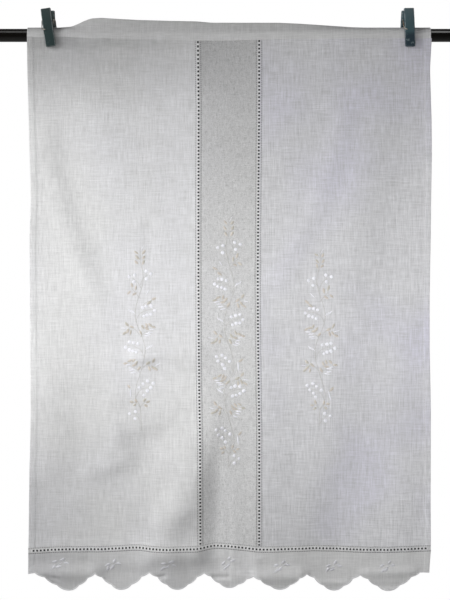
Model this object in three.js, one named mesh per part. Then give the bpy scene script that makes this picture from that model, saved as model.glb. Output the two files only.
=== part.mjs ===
// A linen rod pocket curtain on its rod, held by two spring pegs.
// Millimetres, +Z up, +X to the right as seen from the front, and the front of the cloth faces -Y.
// The origin is on the rod's axis, at the middle of the curtain's width.
import * as THREE from "three";

// Cloth
const CLOTH = 1.2;
const HEM_THICKNESS = 2.0;
const HEM_WIDTH = 7.2;
const HEM_STEP = 0.6;
const GAP = 0.3;

// Rod and the pocket around it
const ROD_RADIUS = 8;
const ROD_LENGTH = 600;
const ROD_CHAMFER = 1;
const ROD_SIDES = 32;
const POCKET_CLEARANCE = 0.4;
const POCKET_RADIUS = ROD_RADIUS + POCKET_CLEARANCE + CLOTH / 2;
const FOLD_RADIUS = 1.3;
const SHEET_Y = -POCKET_RADIUS;
const POCKET_FOOT_Y = SHEET_Y + CLOTH + 0.5;
const POCKET_FOOT_Z = -16.5;

// Hemstitch trims
const TRIM_WIDTH = 7.6;
const HALF_TRIM = TRIM_WIDTH / 2;
const SEAM_GAP = 0.4;

// The curtain's two side edges, down its height
const SIDES = [
  { z: 10, left: -249.4, right: 248.2 },
  { z: -3, left: -249.5, right: 249.4 },
  { z: -43, left: -249.0, right: 247.0 },
  { z: -104, left: -247.4, right: 249.0 },
  { z: -147, left: -246.3, right: 249.4 },
  { z: -203, left: -244.5, right: 248.5 },
  { z: -252, left: -246.3, right: 247.9 },
  { z: -326, left: -245.8, right: 246.5 },
  { z: -387, left: -245.3, right: 246.6 },
  { z: -461, left: -244.5, right: 248.1 },
  { z: -572, left: -245.9, right: 247.7 },
  { z: -634, left: -246.3, right: 248.1 },
  { z: -661, left: -246.7, right: 246.2 },
];

// The middles of the two upright trims, down their height
const UPRIGHT_TRIMS = [
  { z: -6, left: -38.9, right: 36.6 },
  { z: -92, left: -37.9, right: 36.6 },
  { z: -215, left: -38.2, right: 35.5 },
  { z: -300, left: -38.2, right: 34.9 },
  { z: -363, left: -37.9, right: 35.1 },
  { z: -437, left: -37.3, right: 36.0 },
  { z: -498, left: -36.1, right: 36.7 },
  { z: -630, left: -35.8, right: 36.5 },
];

// The middle of the bottom trim, across its width
const BOTTOM_TRIM = [
  { x: -250, z: -635.3 },
  { x: -206, z: -634.1 },
  { x: -155, z: -634.1 },
  { x: -112, z: -631.4 },
  { x: -84, z: -633.3 },
  { x: -39, z: -633.5 },
  { x: -19, z: -630.7 },
  { x: 2, z: -631.4 },
  { x: 39, z: -635.0 },
  { x: 105, z: -633.4 },
  { x: 166, z: -635.4 },
  { x: 192, z: -635.4 },
  { x: 250, z: -633.4 },
];

// The header, across its width: seam is where the panels begin, crest the top of its fold, and lean how far
// the crest lies back from the rod's axis (minus is towards the front)
const HEADER = [
  { x: -249.4, seam: -3.8, crest: 9.8, lean: 0 },
  { x: -232, seam: -3.6, crest: 9.6, lean: 0 },
  { x: -212, seam: -3.4, crest: 9.6, lean: 0 },
  { x: -195, seam: -4.1, crest: 10.8, lean: -1.0 },
  { x: -187, seam: -4.6, crest: 14.0, lean: -2.0 },
  { x: -179, seam: -4.8, crest: 17.7, lean: -2.6 },
  { x: -171, seam: -4.9, crest: 20.4, lean: -3.0 },
  { x: -159, seam: -5.1, crest: 21.3, lean: -3.2 },
  { x: -141, seam: -5.5, crest: 20.1, lean: -3.2 },
  { x: -114, seam: -6.0, crest: 18.6, lean: -3.0 },
  { x: -77, seam: -6.8, crest: 17.7, lean: -2.8 },
  { x: -41, seam: -7.8, crest: 16.9, lean: -2.6 },
  { x: -22, seam: -7.8, crest: 15.4, lean: -2.4 },
  { x: 7, seam: -7.8, crest: 15.4, lean: -2.2 },
  { x: 36, seam: -6.8, crest: 15.3, lean: -2.0 },
  { x: 62, seam: -6.3, crest: 15.3, lean: -1.8 },
  { x: 90, seam: -5.9, crest: 14.2, lean: -1.4 },
  { x: 124, seam: -5.6, crest: 11.9, lean: -0.8 },
  { x: 151, seam: -5.4, crest: 10.2, lean: -0.3 },
  { x: 173, seam: -5.3, crest: 9.6, lean: 0 },
  { x: 207, seam: -5.1, crest: 9.6, lean: 0 },
  { x: 232, seam: -5.3, crest: 9.6, lean: 0 },
  { x: 248.2, seam: -5.4, crest: 9.8, lean: 0 },
];

// Soft folds of the hanging cloth. Each follows its route of [x, z] points, falls off over its width, comes
// forward by its lift (minus goes back) and fades towards its ends.
const FOLDS = [
  {
    width: 15,
    lift: 1.9,
    route: [[-233, -75], [-223, -143], [-209, -211], [-187, -272], [-159, -334], [-145, -371]],
  },
  {
    width: 18,
    lift: -1.9,
    route: [[-214, -106], [-201, -162], [-187, -211], [-169, -254], [-155, -291], [-135, -334]],
  },
  { width: 10, lift: -1.4, route: [[-100, -223], [-100, -291]] },
  { width: 26, lift: 1.6, route: [[-166, -57], [-155, -118], [-132, -223]] },
  { width: 45, lift: 7.5, route: [[-278, -476], [-268, -599], [-265, -697], [-265, -845]] },
  { width: 16, lift: 1.5, route: [[-227, -389], [-225, -451], [-222, -537], [-221, -574]] },
  { width: 14, lift: -1.4, route: [[-187, -420], [-184, -562]] },
  { width: 15, lift: 1.8, route: [[-142, -426], [-145, -549]] },
  { width: 16, lift: -1.4, route: [[-95, -457], [-103, -549]] },
  { width: 13, lift: 2.0, route: [[-152, -490], [-78, -476]] },
  { width: 12, lift: 1.5, route: [[-191, -537], [-108, -520]] },
  { width: 11, lift: 5.2, route: [[-132, -397], [-110, -398], [-73, -397], [-12, -396]] },
  {
    width: 33,
    lift: 7.2,
    route: [[-22, -408], [-30, -451], [-45, -527], [-82, -636], [-100, -710], [-122, -796]],
  },
  { width: 12, lift: -4.6, route: [[-17, -481], [-17, -549], [-18, -697], [-19, -820]] },
  { width: 26, lift: 2.2, route: [[40, -365], [41, -488], [43, -820]] },
  { width: 15, lift: 1.8, route: [[148, -57], [136, -118], [111, -205], [57, -306], [33, -343]] },
  {
    width: 24,
    lift: 1.7,
    route: [[190, -8], [178, -106], [151, -254], [121, -451], [114, -519], [79, -623], [62, -820]],
  },
  {
    width: 24,
    lift: -1.7,
    route: [[240, -8], [227, -106], [203, -254], [168, -451], [163, -525], [129, -636], [109, -820]],
  },
  { width: 24, lift: 1.6, route: [[225, -476], [212, -549], [205, -648], [198, -796]] },
  { width: 15, lift: 3.4, route: [[-283, -634], [-246, -636], [-24, -637], [13, -637]] },
];
// The share of a fold's length over which each of its ends fades.
const FOLD_END = 0.2;
// Folds fade out between these two heights, towards the rod.
const FOLD_TOP = -14;
const FOLD_FULL = -70;

// The scallops: from is the notch at each one's left, to the notch at its right, tip its lowest point
const SCALLOPS = [
  { from: -238.3, fromZ: -661.5, to: -165.3, toZ: -663.4, tip: -197.3, tipZ: -685.1 },
  { from: -165.3, fromZ: -663.4, to: -98.3, toZ: -661.5, tip: -133.6, tipZ: -684.0 },
  { from: -98.3, fromZ: -661.5, to: -31.2, toZ: -663.4, tip: -63.4, tipZ: -683.5 },
  { from: -31.2, fromZ: -663.4, to: 29.3, toZ: -666.5, tip: -0.6, tipZ: -682.2 },
  { from: 29.3, fromZ: -666.5, to: 95.3, toZ: -664.3, tip: 62.2, tipZ: -683.7 },
  { from: 95.3, fromZ: -664.3, to: 161.0, toZ: -665.8, tip: 128.7, tipZ: -685.5 },
  { from: 161.0, fromZ: -665.8, to: 234.5, toZ: -662.7, tip: 195.2, tipZ: -685.5 },
];
// The cusps between the lobes of a scallop. On each side of the tip, out counts from the tip (0) to the notch
// (1), and down from the notch (0) to the tip (1). bulge is how far the lobe that ends there swells out.
const CUSPS = [
  { out: 0.36, down: 0.7, bulge: 0 },
  { out: 0.71, down: 0.25, bulge: 1.7 },
  { out: 1.0, down: 0.0, bulge: 0.9 },
];
const LOBE_STEPS = 4;
const SHOULDER_Z = -663.0;

// Pegs. across is a jaw's place along the rod, and its tilt leans the top towards -X. The worn springs let
// the back jaws stand askew. coil is half the length of the spring's coil.
const PEGS = [
  { name: "left_peg", across: -221.9, tilt: 8.8, backAcross: -222.9, backTilt: 1.2, coil: 7.7 },
  { name: "right_peg", across: 221.8, tilt: 1.1, backAcross: 219.4, backTilt: -1.4, coil: 6.0 },
];
const JAW_WIDTH = 12.2;
const JAW_EDGE = 0.5;
const JAW_CLEARANCE = POCKET_RADIUS + CLOTH / 2 + GAP;
const JAW_ARCH_RISE = 1.0;
const JAW_THICKNESS = 5.0;
const JAW_TOP_THICKNESS = 4.0;
const JAW_TIP_Z = -16;
// A jaw's outer face from the tip to the top, as distances out from its clearance line
const JAW_OUTER = [
  { out: 3.8, z: JAW_TIP_Z },
  { out: 4.8, z: -14 },
  { out: JAW_THICKNESS, z: 4 },
  { out: 2.6, z: 20 },
  { out: -0.4, z: 32 },
];

// Springs
const SPRING_Z = 16.6;
const SPRING_RADIUS = 2.9;
const SPRING_WIRE = 1.4;
const SPRING_TURNS = 4;
const SPRING_SEAT = SPRING_RADIUS + SPRING_WIRE / 2 + 0.65;
const SPRING_MOUTH = 2.2;
const WIRE_FLANK = JAW_WIDTH / 2 + GAP + SPRING_WIRE / 2;
const WIRE_FACE = JAW_CLEARANCE + JAW_THICKNESS + GAP + SPRING_WIRE / 2;
// One arm of the spring, from its hooked end to the coil. across counts from the jaw's middle and out from
// the plane between the jaws.
const SPRING_ARM = [
  { across: 3.4, out: WIRE_FACE, z: 4.6 },
  { across: 5.6, out: WIRE_FACE, z: 5.0 },
  { across: WIRE_FLANK, out: WIRE_FACE - 1, z: 6.2 },
  { across: WIRE_FLANK, out: 9.5, z: 13.2 },
  { across: WIRE_FLANK, out: 4.0, z: 18.2 },
];

// Mesh density
const PANEL_COLUMNS = 18;
const CENTRE_COLUMNS = 6;
const PANEL_ROWS = 39;
const BORDER_ROWS = 3;
const POCKET_STEPS = 22;
const POCKET_FINE_DEG = 3;
const CASING_SPACING = 20;
const EDGE_PASSES = 3;
const JAW_ARC_STEPS = 6;
const COIL_STEPS = 8;
const SPRING_STEPS = 76;
const SPRING_SIDES = 6;

const FINISHES = {
  white: { color: 0xe9e8e6, roughness: 0.9, metalness: 0 },
  natural: { color: 0xcfcdc8, roughness: 0.92, metalness: 0 },
  trim: { color: 0xe2e1de, roughness: 0.9, metalness: 0 },
  rod: { color: 0x0c0c0e, roughness: 0.28, metalness: 0.2 },
  wire: { color: 0x4a463e, roughness: 0.4, metalness: 0.8 },
  left_peg: { color: 0x2b3636, roughness: 0.45, metalness: 0.1 },
  right_peg: { color: 0x45565a, roughness: 0.45, metalness: 0.1 },
};

// A value from a table, straight between its rows; key names the column that runs along the table.
function along(table, key, column, at) {
  const rising = table[0][key] < table[table.length - 1][key];
  const rows = rising ? table : [...table].reverse();
  const last = rows.length - 1;
  if (at <= rows[0][key]) return rows[0][column];
  if (at >= rows[last][key]) return rows[last][column];
  const i = rows.findIndex((row) => row[key] >= at);
  const share = (at - rows[i - 1][key]) / (rows[i][key] - rows[i - 1][key]);
  return THREE.MathUtils.lerp(rows[i - 1][column], rows[i][column], share);
}

const leftEdge = (z) => along(SIDES, "z", "left", z);
const rightEdge = (z) => along(SIDES, "z", "right", z);
const leftTrim = (z) => along(UPRIGHT_TRIMS, "z", "left", z);
const rightTrim = (z) => along(UPRIGHT_TRIMS, "z", "right", z);
const bottomTrim = (x) => along(BOTTOM_TRIM, "x", "z", x);
const seam = (x) => along(HEADER, "x", "seam", x);

// The panels and upright trims from left to right, each between two edges that are functions of z
const PANELS = [
  {
    name: "left_panel",
    left: leftEdge,
    right: (z) => leftTrim(z) - HALF_TRIM - SEAM_GAP,
    count: PANEL_COLUMNS,
    hem: "left",
    finish: FINISHES.white,
  },
  {
    name: "left_ladder",
    left: (z) => leftTrim(z) - HALF_TRIM,
    right: (z) => leftTrim(z) + HALF_TRIM,
    count: 1,
    hem: "none",
    finish: FINISHES.trim,
  },
  {
    name: "centre_panel",
    left: (z) => leftTrim(z) + HALF_TRIM + SEAM_GAP,
    right: (z) => rightTrim(z) - HALF_TRIM - SEAM_GAP,
    count: CENTRE_COLUMNS,
    hem: "none",
    finish: FINISHES.natural,
  },
  {
    name: "right_ladder",
    left: (z) => rightTrim(z) - HALF_TRIM,
    right: (z) => rightTrim(z) + HALF_TRIM,
    count: 1,
    hem: "none",
    finish: FINISHES.trim,
  },
  {
    name: "right_panel",
    left: (z) => rightTrim(z) + HALF_TRIM + SEAM_GAP,
    right: rightEdge,
    count: PANEL_COLUMNS,
    hem: "right",
    finish: FINISHES.white,
  },
];

// The point of a fold's route that is nearest to (x, z): how far away it is, and its share of the length.
function nearestOnRoute(route, x, z) {
  const point = new THREE.Vector2(x, z);
  let nearest = { away: Infinity, along: 0 };
  let length = 0;
  for (let i = 1; i < route.length; i++) {
    const start = new THREE.Vector2(...route[i - 1]);
    const run = new THREE.Vector2(...route[i]).sub(start);
    const share = THREE.MathUtils.clamp(point.clone().sub(start).dot(run) / run.lengthSq(), 0, 1);
    const away = start.addScaledVector(run, share).distanceTo(point);
    if (away < nearest.away) nearest = { away, along: length + share * run.length() };
    length += run.length();
  }
  return { away: nearest.away, share: nearest.along / length };
}

// How far a fold lifts the cloth at (x, z).
function foldLift(fold, x, z) {
  const { away, share } = nearestOnRoute(fold.route, x, z);
  const { smoothstep } = THREE.MathUtils;
  const ends = smoothstep(share, 0, FOLD_END) * (1 - smoothstep(share, 1 - FOLD_END, 1));
  return fold.lift * ends * Math.exp(-((away / fold.width) ** 2));
}

// The middle of the hanging sheet at (x, z): it drops from the front of the pocket and follows the folds.
function sheetY(x, z) {
  const fade = THREE.MathUtils.smoothstep(FOLD_TOP - z, 0, FOLD_TOP - FOLD_FULL);
  const lift = FOLDS.reduce((sum, fold) => sum + foldLift(fold, x, z), 0);
  return SHEET_Y - fade * lift;
}

// A closed sheet from a grid of points: place(i, j) gives x, y, z at the middle of its thickness, with i
// from left to right and j from the top down, and thick(i) the cloth's thickness at that column.
function sheetGeometry(columns, rows, place, thick) {
  const positions = [];
  const index = [];
  const at = (side, i, j) => (side * (rows + 1) + j) * (columns + 1) + i;
  for (const side of [-1, 1]) {
    for (let j = 0; j <= rows; j++) {
      for (let i = 0; i <= columns; i++) {
        const [x, y, z] = place(i, j);
        positions.push(x, y + (side * thick(i)) / 2, z);
      }
    }
  }
  const quad = (a, b, c, d) => index.push(a, b, c, a, c, d);
  for (let j = 0; j < rows; j++) {
    for (let i = 0; i < columns; i++) {
      quad(at(0, i, j + 1), at(0, i + 1, j + 1), at(0, i + 1, j), at(0, i, j));
      quad(at(1, i, j), at(1, i + 1, j), at(1, i + 1, j + 1), at(1, i, j + 1));
    }
  }
  for (let i = 0; i < columns; i++) {
    quad(at(0, i, 0), at(0, i + 1, 0), at(1, i + 1, 0), at(1, i, 0));
    quad(at(1, i, rows), at(1, i + 1, rows), at(0, i + 1, rows), at(0, i, rows));
  }
  for (let j = 0; j < rows; j++) {
    quad(at(0, 0, j), at(1, 0, j), at(1, 0, j + 1), at(0, 0, j + 1));
    quad(at(0, columns, j + 1), at(1, columns, j + 1), at(1, columns, j), at(0, columns, j));
  }
  const geometry = new THREE.BufferGeometry();
  geometry.setAttribute("position", new THREE.Float32BufferAttribute(positions, 3));
  geometry.setIndex(index);
  geometry.computeVertexNormals();
  return geometry;
}

// The columns of a panel, as distances from its left edge for a given width, and each column's thickness.
// hem is "left", "right" or "none".
function panelColumns(width, count, hem) {
  const hemAt = [0, HEM_WIDTH - HEM_STEP / 2, HEM_WIDTH + HEM_STEP / 2];
  const start = hem === "none" ? 0 : hemAt[2];
  const columns = [];
  for (let i = 0; i <= count; i++) {
    columns.push({ at: start + ((width - start) * i) / count, thick: CLOTH });
  }
  if (hem !== "none") {
    columns.unshift({ at: hemAt[1], thick: HEM_THICKNESS });
    columns.unshift({ at: hemAt[0], thick: HEM_THICKNESS });
  }
  if (hem === "right") {
    return columns.map((c) => ({ at: width - c.at, thick: c.thick })).reverse();
  }
  return columns;
}

// Where column i of a panel lies, a share of the way down from the header's seam to the bottom trim.
function panelPoint(panel, i, down) {
  let x = THREE.MathUtils.lerp(panel.left(0), panel.right(0), i / (panel.count + 1));
  let z = 0;
  for (let pass = 0; pass < EDGE_PASSES; pass++) {
    const top = seam(x) - SEAM_GAP / 2;
    const foot = bottomTrim(x) + HALF_TRIM + SEAM_GAP;
    z = THREE.MathUtils.lerp(top, foot, down);
    x = panel.left(z) + panelColumns(panel.right(z) - panel.left(z), panel.count, panel.hem)[i].at;
  }
  return [x, sheetY(x, z), z];
}

function panelGeometry(panel) {
  const columns = panelColumns(panel.right(0) - panel.left(0), panel.count, panel.hem);
  return sheetGeometry(
    columns.length - 1,
    PANEL_ROWS,
    (i, j) => panelPoint(panel, i, j / PANEL_ROWS),
    (i) => columns[i].thick,
  );
}

// The bottom trim's line as the panels meet it: straight between the feet of their columns.
const TRIM_LINE = PANELS.flatMap((panel) =>
  panelColumns(1, panel.count, panel.hem).map((_, i) => {
    const x = panelPoint(panel, i, 1)[0];
    return { x, z: bottomTrim(x) };
  }),
);

// The bottom trim, right across the curtain.
function bottomLadderGeometry() {
  const place = (i, j) => {
    const z = TRIM_LINE[i].z + (j === 0 ? HALF_TRIM : -HALF_TRIM);
    return [TRIM_LINE[i].x, sheetY(TRIM_LINE[i].x, z), z];
  };
  return sheetGeometry(TRIM_LINE.length - 1, 1, place, () => CLOTH);
}

// One side of a scallop's edge, from its tip to its notch: a round arc at the tip, then the swelling lobes.
function scallopSide(scallop, side) {
  const reach = scallop[side] - scallop.tip;
  const drop = scallop[side + "Z"] - scallop.tipZ;
  const cusps = CUSPS.map((cusp) => ({
    x: scallop.tip + reach * cusp.out,
    z: scallop.tipZ + drop * (1 - cusp.down),
    bulge: cusp.bulge,
  }));
  const across = cusps[0].x - scallop.tip;
  const rise = cusps[0].z - scallop.tipZ;
  const radius = (across ** 2 + rise ** 2) / (2 * rise);
  const points = [];
  for (let i = 0; i < LOBE_STEPS; i++) {
    const away = (across * i) / LOBE_STEPS;
    points.push({ x: scallop.tip + away, z: scallop.tipZ + radius - Math.sqrt(radius ** 2 - away ** 2) });
  }
  for (let k = 1; k < cusps.length; k++) {
    const [from, to] = [cusps[k - 1], cusps[k]];
    const [runX, runZ] = [to.x - from.x, to.z - from.z];
    const outward = to.bulge / Math.hypot(runX, runZ) / Math.sign(runX);
    for (let i = 0; i < LOBE_STEPS; i++) {
      const share = i / LOBE_STEPS;
      const swell = 4 * share * (1 - share) * outward;
      points.push({ x: from.x + runX * share + runZ * swell, z: from.z + runZ * share - runX * swell });
    }
  }
  return points;
}

// The points of the border's edge from left to right, with a short straight shoulder at each end.
function borderEdge() {
  const points = [{ x: leftEdge(SHOULDER_Z), z: SHOULDER_Z }];
  for (const scallop of SCALLOPS) {
    points.push({ x: scallop.from, z: scallop.fromZ });
    points.push(...scallopSide(scallop, "from").reverse(), ...scallopSide(scallop, "to").slice(1));
  }
  const last = SCALLOPS[SCALLOPS.length - 1];
  points.push({ x: last.to, z: last.toZ });
  points.push({ x: rightEdge(SHOULDER_Z), z: SHOULDER_Z });
  return points;
}

function borderGeometry() {
  const edge = borderEdge();
  const place = (i, j) => {
    const top = along(TRIM_LINE, "x", "z", edge[i].x) - HALF_TRIM - SEAM_GAP;
    const z = THREE.MathUtils.lerp(top, edge[i].z, j / BORDER_ROWS);
    return [edge[i].x, sheetY(edge[i].x, z), z];
  };
  return sheetGeometry(edge.length - 1, BORDER_ROWS, place, () => CLOTH);
}

// Points along an open line of [y, z] points, spaced evenly in a given number of steps.
function evenly(line, steps) {
  const path = new THREE.CurvePath();
  for (let i = 0; i + 1 < line.length; i++) {
    path.add(new THREE.LineCurve(new THREE.Vector2(...line[i]), new THREE.Vector2(...line[i + 1])));
  }
  return Array.from({ length: steps + 1 }, (_, i) => path.getPointAt(i / steps).toArray());
}

// One layer of the pocket's section, at one place across: the taut outline around the rod and the crest's
// fold, off from the middle of the cloth by offset. It runs from the seam over the top and round the back to
// the foot, where the pocket meets the back of the panels.
function pocketLayer(row, offset) {
  const round = POCKET_RADIUS + offset;
  const fold = FOLD_RADIUS + offset;
  const foldZ = row.crest - CLOTH / 2 - FOLD_RADIUS;
  const foot = [POCKET_FOOT_Y, POCKET_FOOT_Z];
  const footAngle = Math.atan2(foot[1], foot[0]) + Math.acos(POCKET_RADIUS / Math.hypot(...foot));
  const fineSteps = Math.ceil((180 - THREE.MathUtils.radToDeg(footAngle)) / POCKET_FINE_DEG);
  const line = [[-round, row.seam + SEAM_GAP / 2]];
  for (let i = 0; i <= fineSteps; i++) {
    const angle = Math.PI + ((footAngle - Math.PI) * i) / fineSteps;
    const out = [Math.cos(angle), Math.sin(angle)];
    const atFold = row.lean * out[0] + foldZ * out[1] + fold;
    line.push(
      atFold > round && angle > 0
        ? [row.lean + fold * out[0], foldZ + fold * out[1]]
        : [round * out[0], round * out[1]],
    );
  }
  line.push([foot[0] + offset * Math.cos(footAngle), foot[1] + offset * Math.sin(footAngle)]);
  return evenly(line, POCKET_STEPS);
}

// The header's rows with rows put between those that lie further apart than the casing's spacing.
function headerRows() {
  const rows = [HEADER[0]];
  for (const next of HEADER.slice(1)) {
    const row = rows[rows.length - 1];
    const parts = Math.ceil((next.x - row.x) / CASING_SPACING);
    for (let part = 1; part <= parts; part++) {
      const mix = (column) => THREE.MathUtils.lerp(row[column], next[column], part / parts);
      rows.push({ x: mix("x"), seam: mix("seam"), crest: mix("crest"), lean: mix("lean") });
    }
  }
  return rows;
}

// The casing: the pocket's section carried across the curtain.
function casingGeometry() {
  const rings = headerRows().map((row) => {
    const outer = pocketLayer(row, CLOTH / 2);
    const inner = pocketLayer(row, -CLOTH / 2).reverse();
    return [...outer, ...inner].map(([y, z]) => [row.x, y, z]);
  });
  return loftGeometry(rings);
}

// A closed solid through rings of points, each ring on its own plane and all with the same number of points.
function loftGeometry(rings) {
  const size = rings[0].length;
  const half = size / 2;
  const index = [];
  for (let k = 0; k + 1 < rings.length; k++) {
    for (let i = 0; i < size; i++) {
      const a = k * size + i;
      const b = k * size + ((i + 1) % size);
      index.push(a, a + size, b + size, a, b + size, b);
    }
  }
  const ends = [0, (rings.length - 1) * size];
  for (let i = 0; i + 1 < half; i++) {
    const [a, b, c, d] = [i, i + 1, size - 2 - i, size - 1 - i];
    index.push(ends[0] + a, ends[0] + b, ends[0] + c, ends[0] + a, ends[0] + c, ends[0] + d);
    index.push(ends[1] + c, ends[1] + b, ends[1] + a, ends[1] + d, ends[1] + c, ends[1] + a);
  }
  const geometry = new THREE.BufferGeometry();
  geometry.setAttribute("position", new THREE.Float32BufferAttribute(rings.flat(2), 3));
  geometry.setIndex(index);
  geometry.computeVertexNormals();
  return geometry;
}

function rodGeometry() {
  const half = ROD_LENGTH / 2;
  const profile = [
    new THREE.Vector2(0, -half),
    new THREE.Vector2(ROD_RADIUS - ROD_CHAMFER, -half),
    new THREE.Vector2(ROD_RADIUS, -half + ROD_CHAMFER),
    new THREE.Vector2(ROD_RADIUS, half - ROD_CHAMFER),
    new THREE.Vector2(ROD_RADIUS - ROD_CHAMFER, half),
    new THREE.Vector2(0, half),
  ];
  return new THREE.LatheGeometry(profile, ROD_SIDES).rotateZ(-Math.PI / 2);
}

// A peg's jaw from the side: x counts out from the peg's middle plane and y is up. It stands straight beside
// the cloth below, arches over the rod, has a round seat for the spring, and ends in the handle.
function jawProfile() {
  const arch = JAW_CLEARANCE;
  const top = JAW_OUTER[JAW_OUTER.length - 1];
  const shape = new THREE.Shape();
  shape.moveTo(arch, JAW_TIP_Z);
  for (const point of JAW_OUTER) {
    shape.lineTo(arch + point.out, point.z);
  }
  shape.lineTo(arch + top.out - JAW_TOP_THICKNESS, top.z);
  const seatTurn = Math.acos(SPRING_MOUTH / SPRING_SEAT);
  shape.absarc(0, SPRING_Z, SPRING_SEAT, seatTurn, -seatTurn, true);
  shape.absarc(0, JAW_ARCH_RISE, arch, Math.PI / 3, 0, true);
  shape.closePath();
  return shape;
}

function jawGeometry() {
  const geometry = new THREE.ExtrudeGeometry(jawProfile(), {
    depth: JAW_WIDTH - 2 * JAW_EDGE,
    bevelThickness: JAW_EDGE,
    bevelSize: JAW_EDGE,
    bevelOffset: -JAW_EDGE,
    bevelSegments: 1,
    curveSegments: JAW_ARC_STEPS,
  });
  geometry.translate(0, 0, -JAW_WIDTH / 2 + JAW_EDGE);
  const basis = new THREE.Matrix4().makeBasis(
    new THREE.Vector3(0, 1, 0),
    new THREE.Vector3(0, 0, 1),
    new THREE.Vector3(1, 0, 0),
  );
  return geometry.applyMatrix4(basis);
}

// A point of a peg beside a jaw that leans by tilt: x counts from the jaw's middle.
function leanPoint(across, tilt, x, y, z) {
  const angle = THREE.MathUtils.degToRad(tilt);
  const [cos, sin] = [Math.cos(angle), Math.sin(angle)];
  return new THREE.Vector3(across + x * cos - z * sin, y, x * sin + z * cos);
}

// The spring: one wire that hooks over the front jaw, runs up its flank, coils between the jaws and goes
// down the other flank to the back jaw.
function springGeometry(peg) {
  const front = (x, y, z) => leanPoint(peg.across, peg.tilt, x, y, z);
  const back = (x, y, z) => leanPoint(peg.backAcross, peg.backTilt, x, y, z);
  const coil = SPRING_TURNS * COIL_STEPS;
  const points = SPRING_ARM.map((point) => front(-point.across, -point.out, point.z));
  for (let i = 0; i <= coil; i++) {
    const angle = (2 * Math.PI * i) / COIL_STEPS;
    const x = THREE.MathUtils.lerp(-peg.coil, peg.coil, i / coil);
    const turn = [x, SPRING_RADIUS * Math.sin(angle), SPRING_Z + SPRING_RADIUS * Math.cos(angle)];
    points.push(front(...turn).lerp(back(...turn), 0.5));
  }
  for (const point of [...SPRING_ARM].reverse()) {
    points.push(back(point.across, point.out, point.z));
  }
  const section = new THREE.Shape(
    Array.from({ length: SPRING_SIDES }, (_, i) => {
      const angle = (2 * Math.PI * i) / SPRING_SIDES;
      return new THREE.Vector2(Math.cos(angle), Math.sin(angle)).multiplyScalar(SPRING_WIRE / 2);
    }),
  );
  return new THREE.ExtrudeGeometry(section, {
    steps: SPRING_STEPS,
    extrudePath: new THREE.CatmullRomCurve3(points),
    curveSegments: 1,
  });
}

function addPiece(group, name, geometry, finish) {
  const mesh = new THREE.Mesh(geometry, new THREE.MeshStandardMaterial(finish));
  mesh.name = name;
  group.add(mesh);
  return mesh;
}

function addPeg(group, peg) {
  const finish = FINISHES[peg.name];
  const back = addPiece(group, `${peg.name}_back_jaw`, jawGeometry(), finish);
  back.position.x = peg.backAcross;
  back.rotation.y = THREE.MathUtils.degToRad(-peg.backTilt);
  const front = addPiece(group, `${peg.name}_front_jaw`, jawGeometry(), finish);
  front.position.x = peg.across;
  front.rotation.set(0, THREE.MathUtils.degToRad(-peg.tilt), Math.PI);
  addPiece(group, `${peg.name}_spring`, springGeometry(peg), FINISHES.wire);
}

const curtain = new THREE.Group();
curtain.name = "rod_pocket_curtain";
addPiece(curtain, "curtain_rod", rodGeometry(), FINISHES.rod);
addPiece(curtain, "casing", casingGeometry(), FINISHES.white);
for (const panel of PANELS) {
  addPiece(curtain, panel.name, panelGeometry(panel), panel.finish);
}
addPiece(curtain, "bottom_ladder", bottomLadderGeometry(), FINISHES.trim);
addPiece(curtain, "scallop_border", borderGeometry(), FINISHES.white);
for (const peg of PEGS) {
  addPeg(curtain, peg);
}

export default curtain;
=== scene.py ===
"""Looks of a linen rod pocket curtain on its rod.

The cloth is made as thin sheets on the folds of the solids, with hemstitch trims, stitched vines and a
scalloped border. The rod and the pegs are modelled around the solids, in a small studio.
"""

import logging
import math
from collections.abc import Callable, Sequence
from dataclasses import dataclass, field
from enum import Enum
from typing import Any, ClassVar

import bmesh
import bpy
import numpy as np
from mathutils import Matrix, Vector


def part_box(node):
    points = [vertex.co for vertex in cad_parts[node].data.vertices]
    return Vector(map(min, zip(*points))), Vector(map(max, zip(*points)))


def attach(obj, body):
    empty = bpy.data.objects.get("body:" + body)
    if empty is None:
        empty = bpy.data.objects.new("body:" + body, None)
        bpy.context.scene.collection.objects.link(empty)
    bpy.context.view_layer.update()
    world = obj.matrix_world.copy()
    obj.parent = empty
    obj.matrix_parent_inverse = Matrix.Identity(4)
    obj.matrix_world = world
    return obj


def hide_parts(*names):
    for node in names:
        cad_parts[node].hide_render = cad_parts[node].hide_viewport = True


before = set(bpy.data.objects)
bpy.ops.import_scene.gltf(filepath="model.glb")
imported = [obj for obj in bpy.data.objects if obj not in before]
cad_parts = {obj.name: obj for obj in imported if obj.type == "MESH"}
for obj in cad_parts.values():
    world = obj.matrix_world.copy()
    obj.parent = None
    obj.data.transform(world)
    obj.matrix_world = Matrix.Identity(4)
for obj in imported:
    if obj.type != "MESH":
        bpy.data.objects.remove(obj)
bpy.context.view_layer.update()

Array = np.ndarray
Piece = bpy.types.Object
Socket = bpy.types.NodeSocket
Colour = tuple[float, float, float]
Place = tuple[float, float]
Leaf = tuple[float, float, float]
Faces = Sequence[Sequence[int]]
Curve = Callable[[Array], Array]

log = logging.getLogger("curtain")

MM = 0.001
BODY = "root"


class Hem(Enum):
    """The side of a panel that has a hem."""

    LEFT = "left"
    RIGHT = "right"
    NONE = "none"


class Thread(Enum):
    """The threads of the stitching, as material slots of a stitched piece."""

    BEIGE = 0
    WHITE = 1
    STEM = 2


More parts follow.
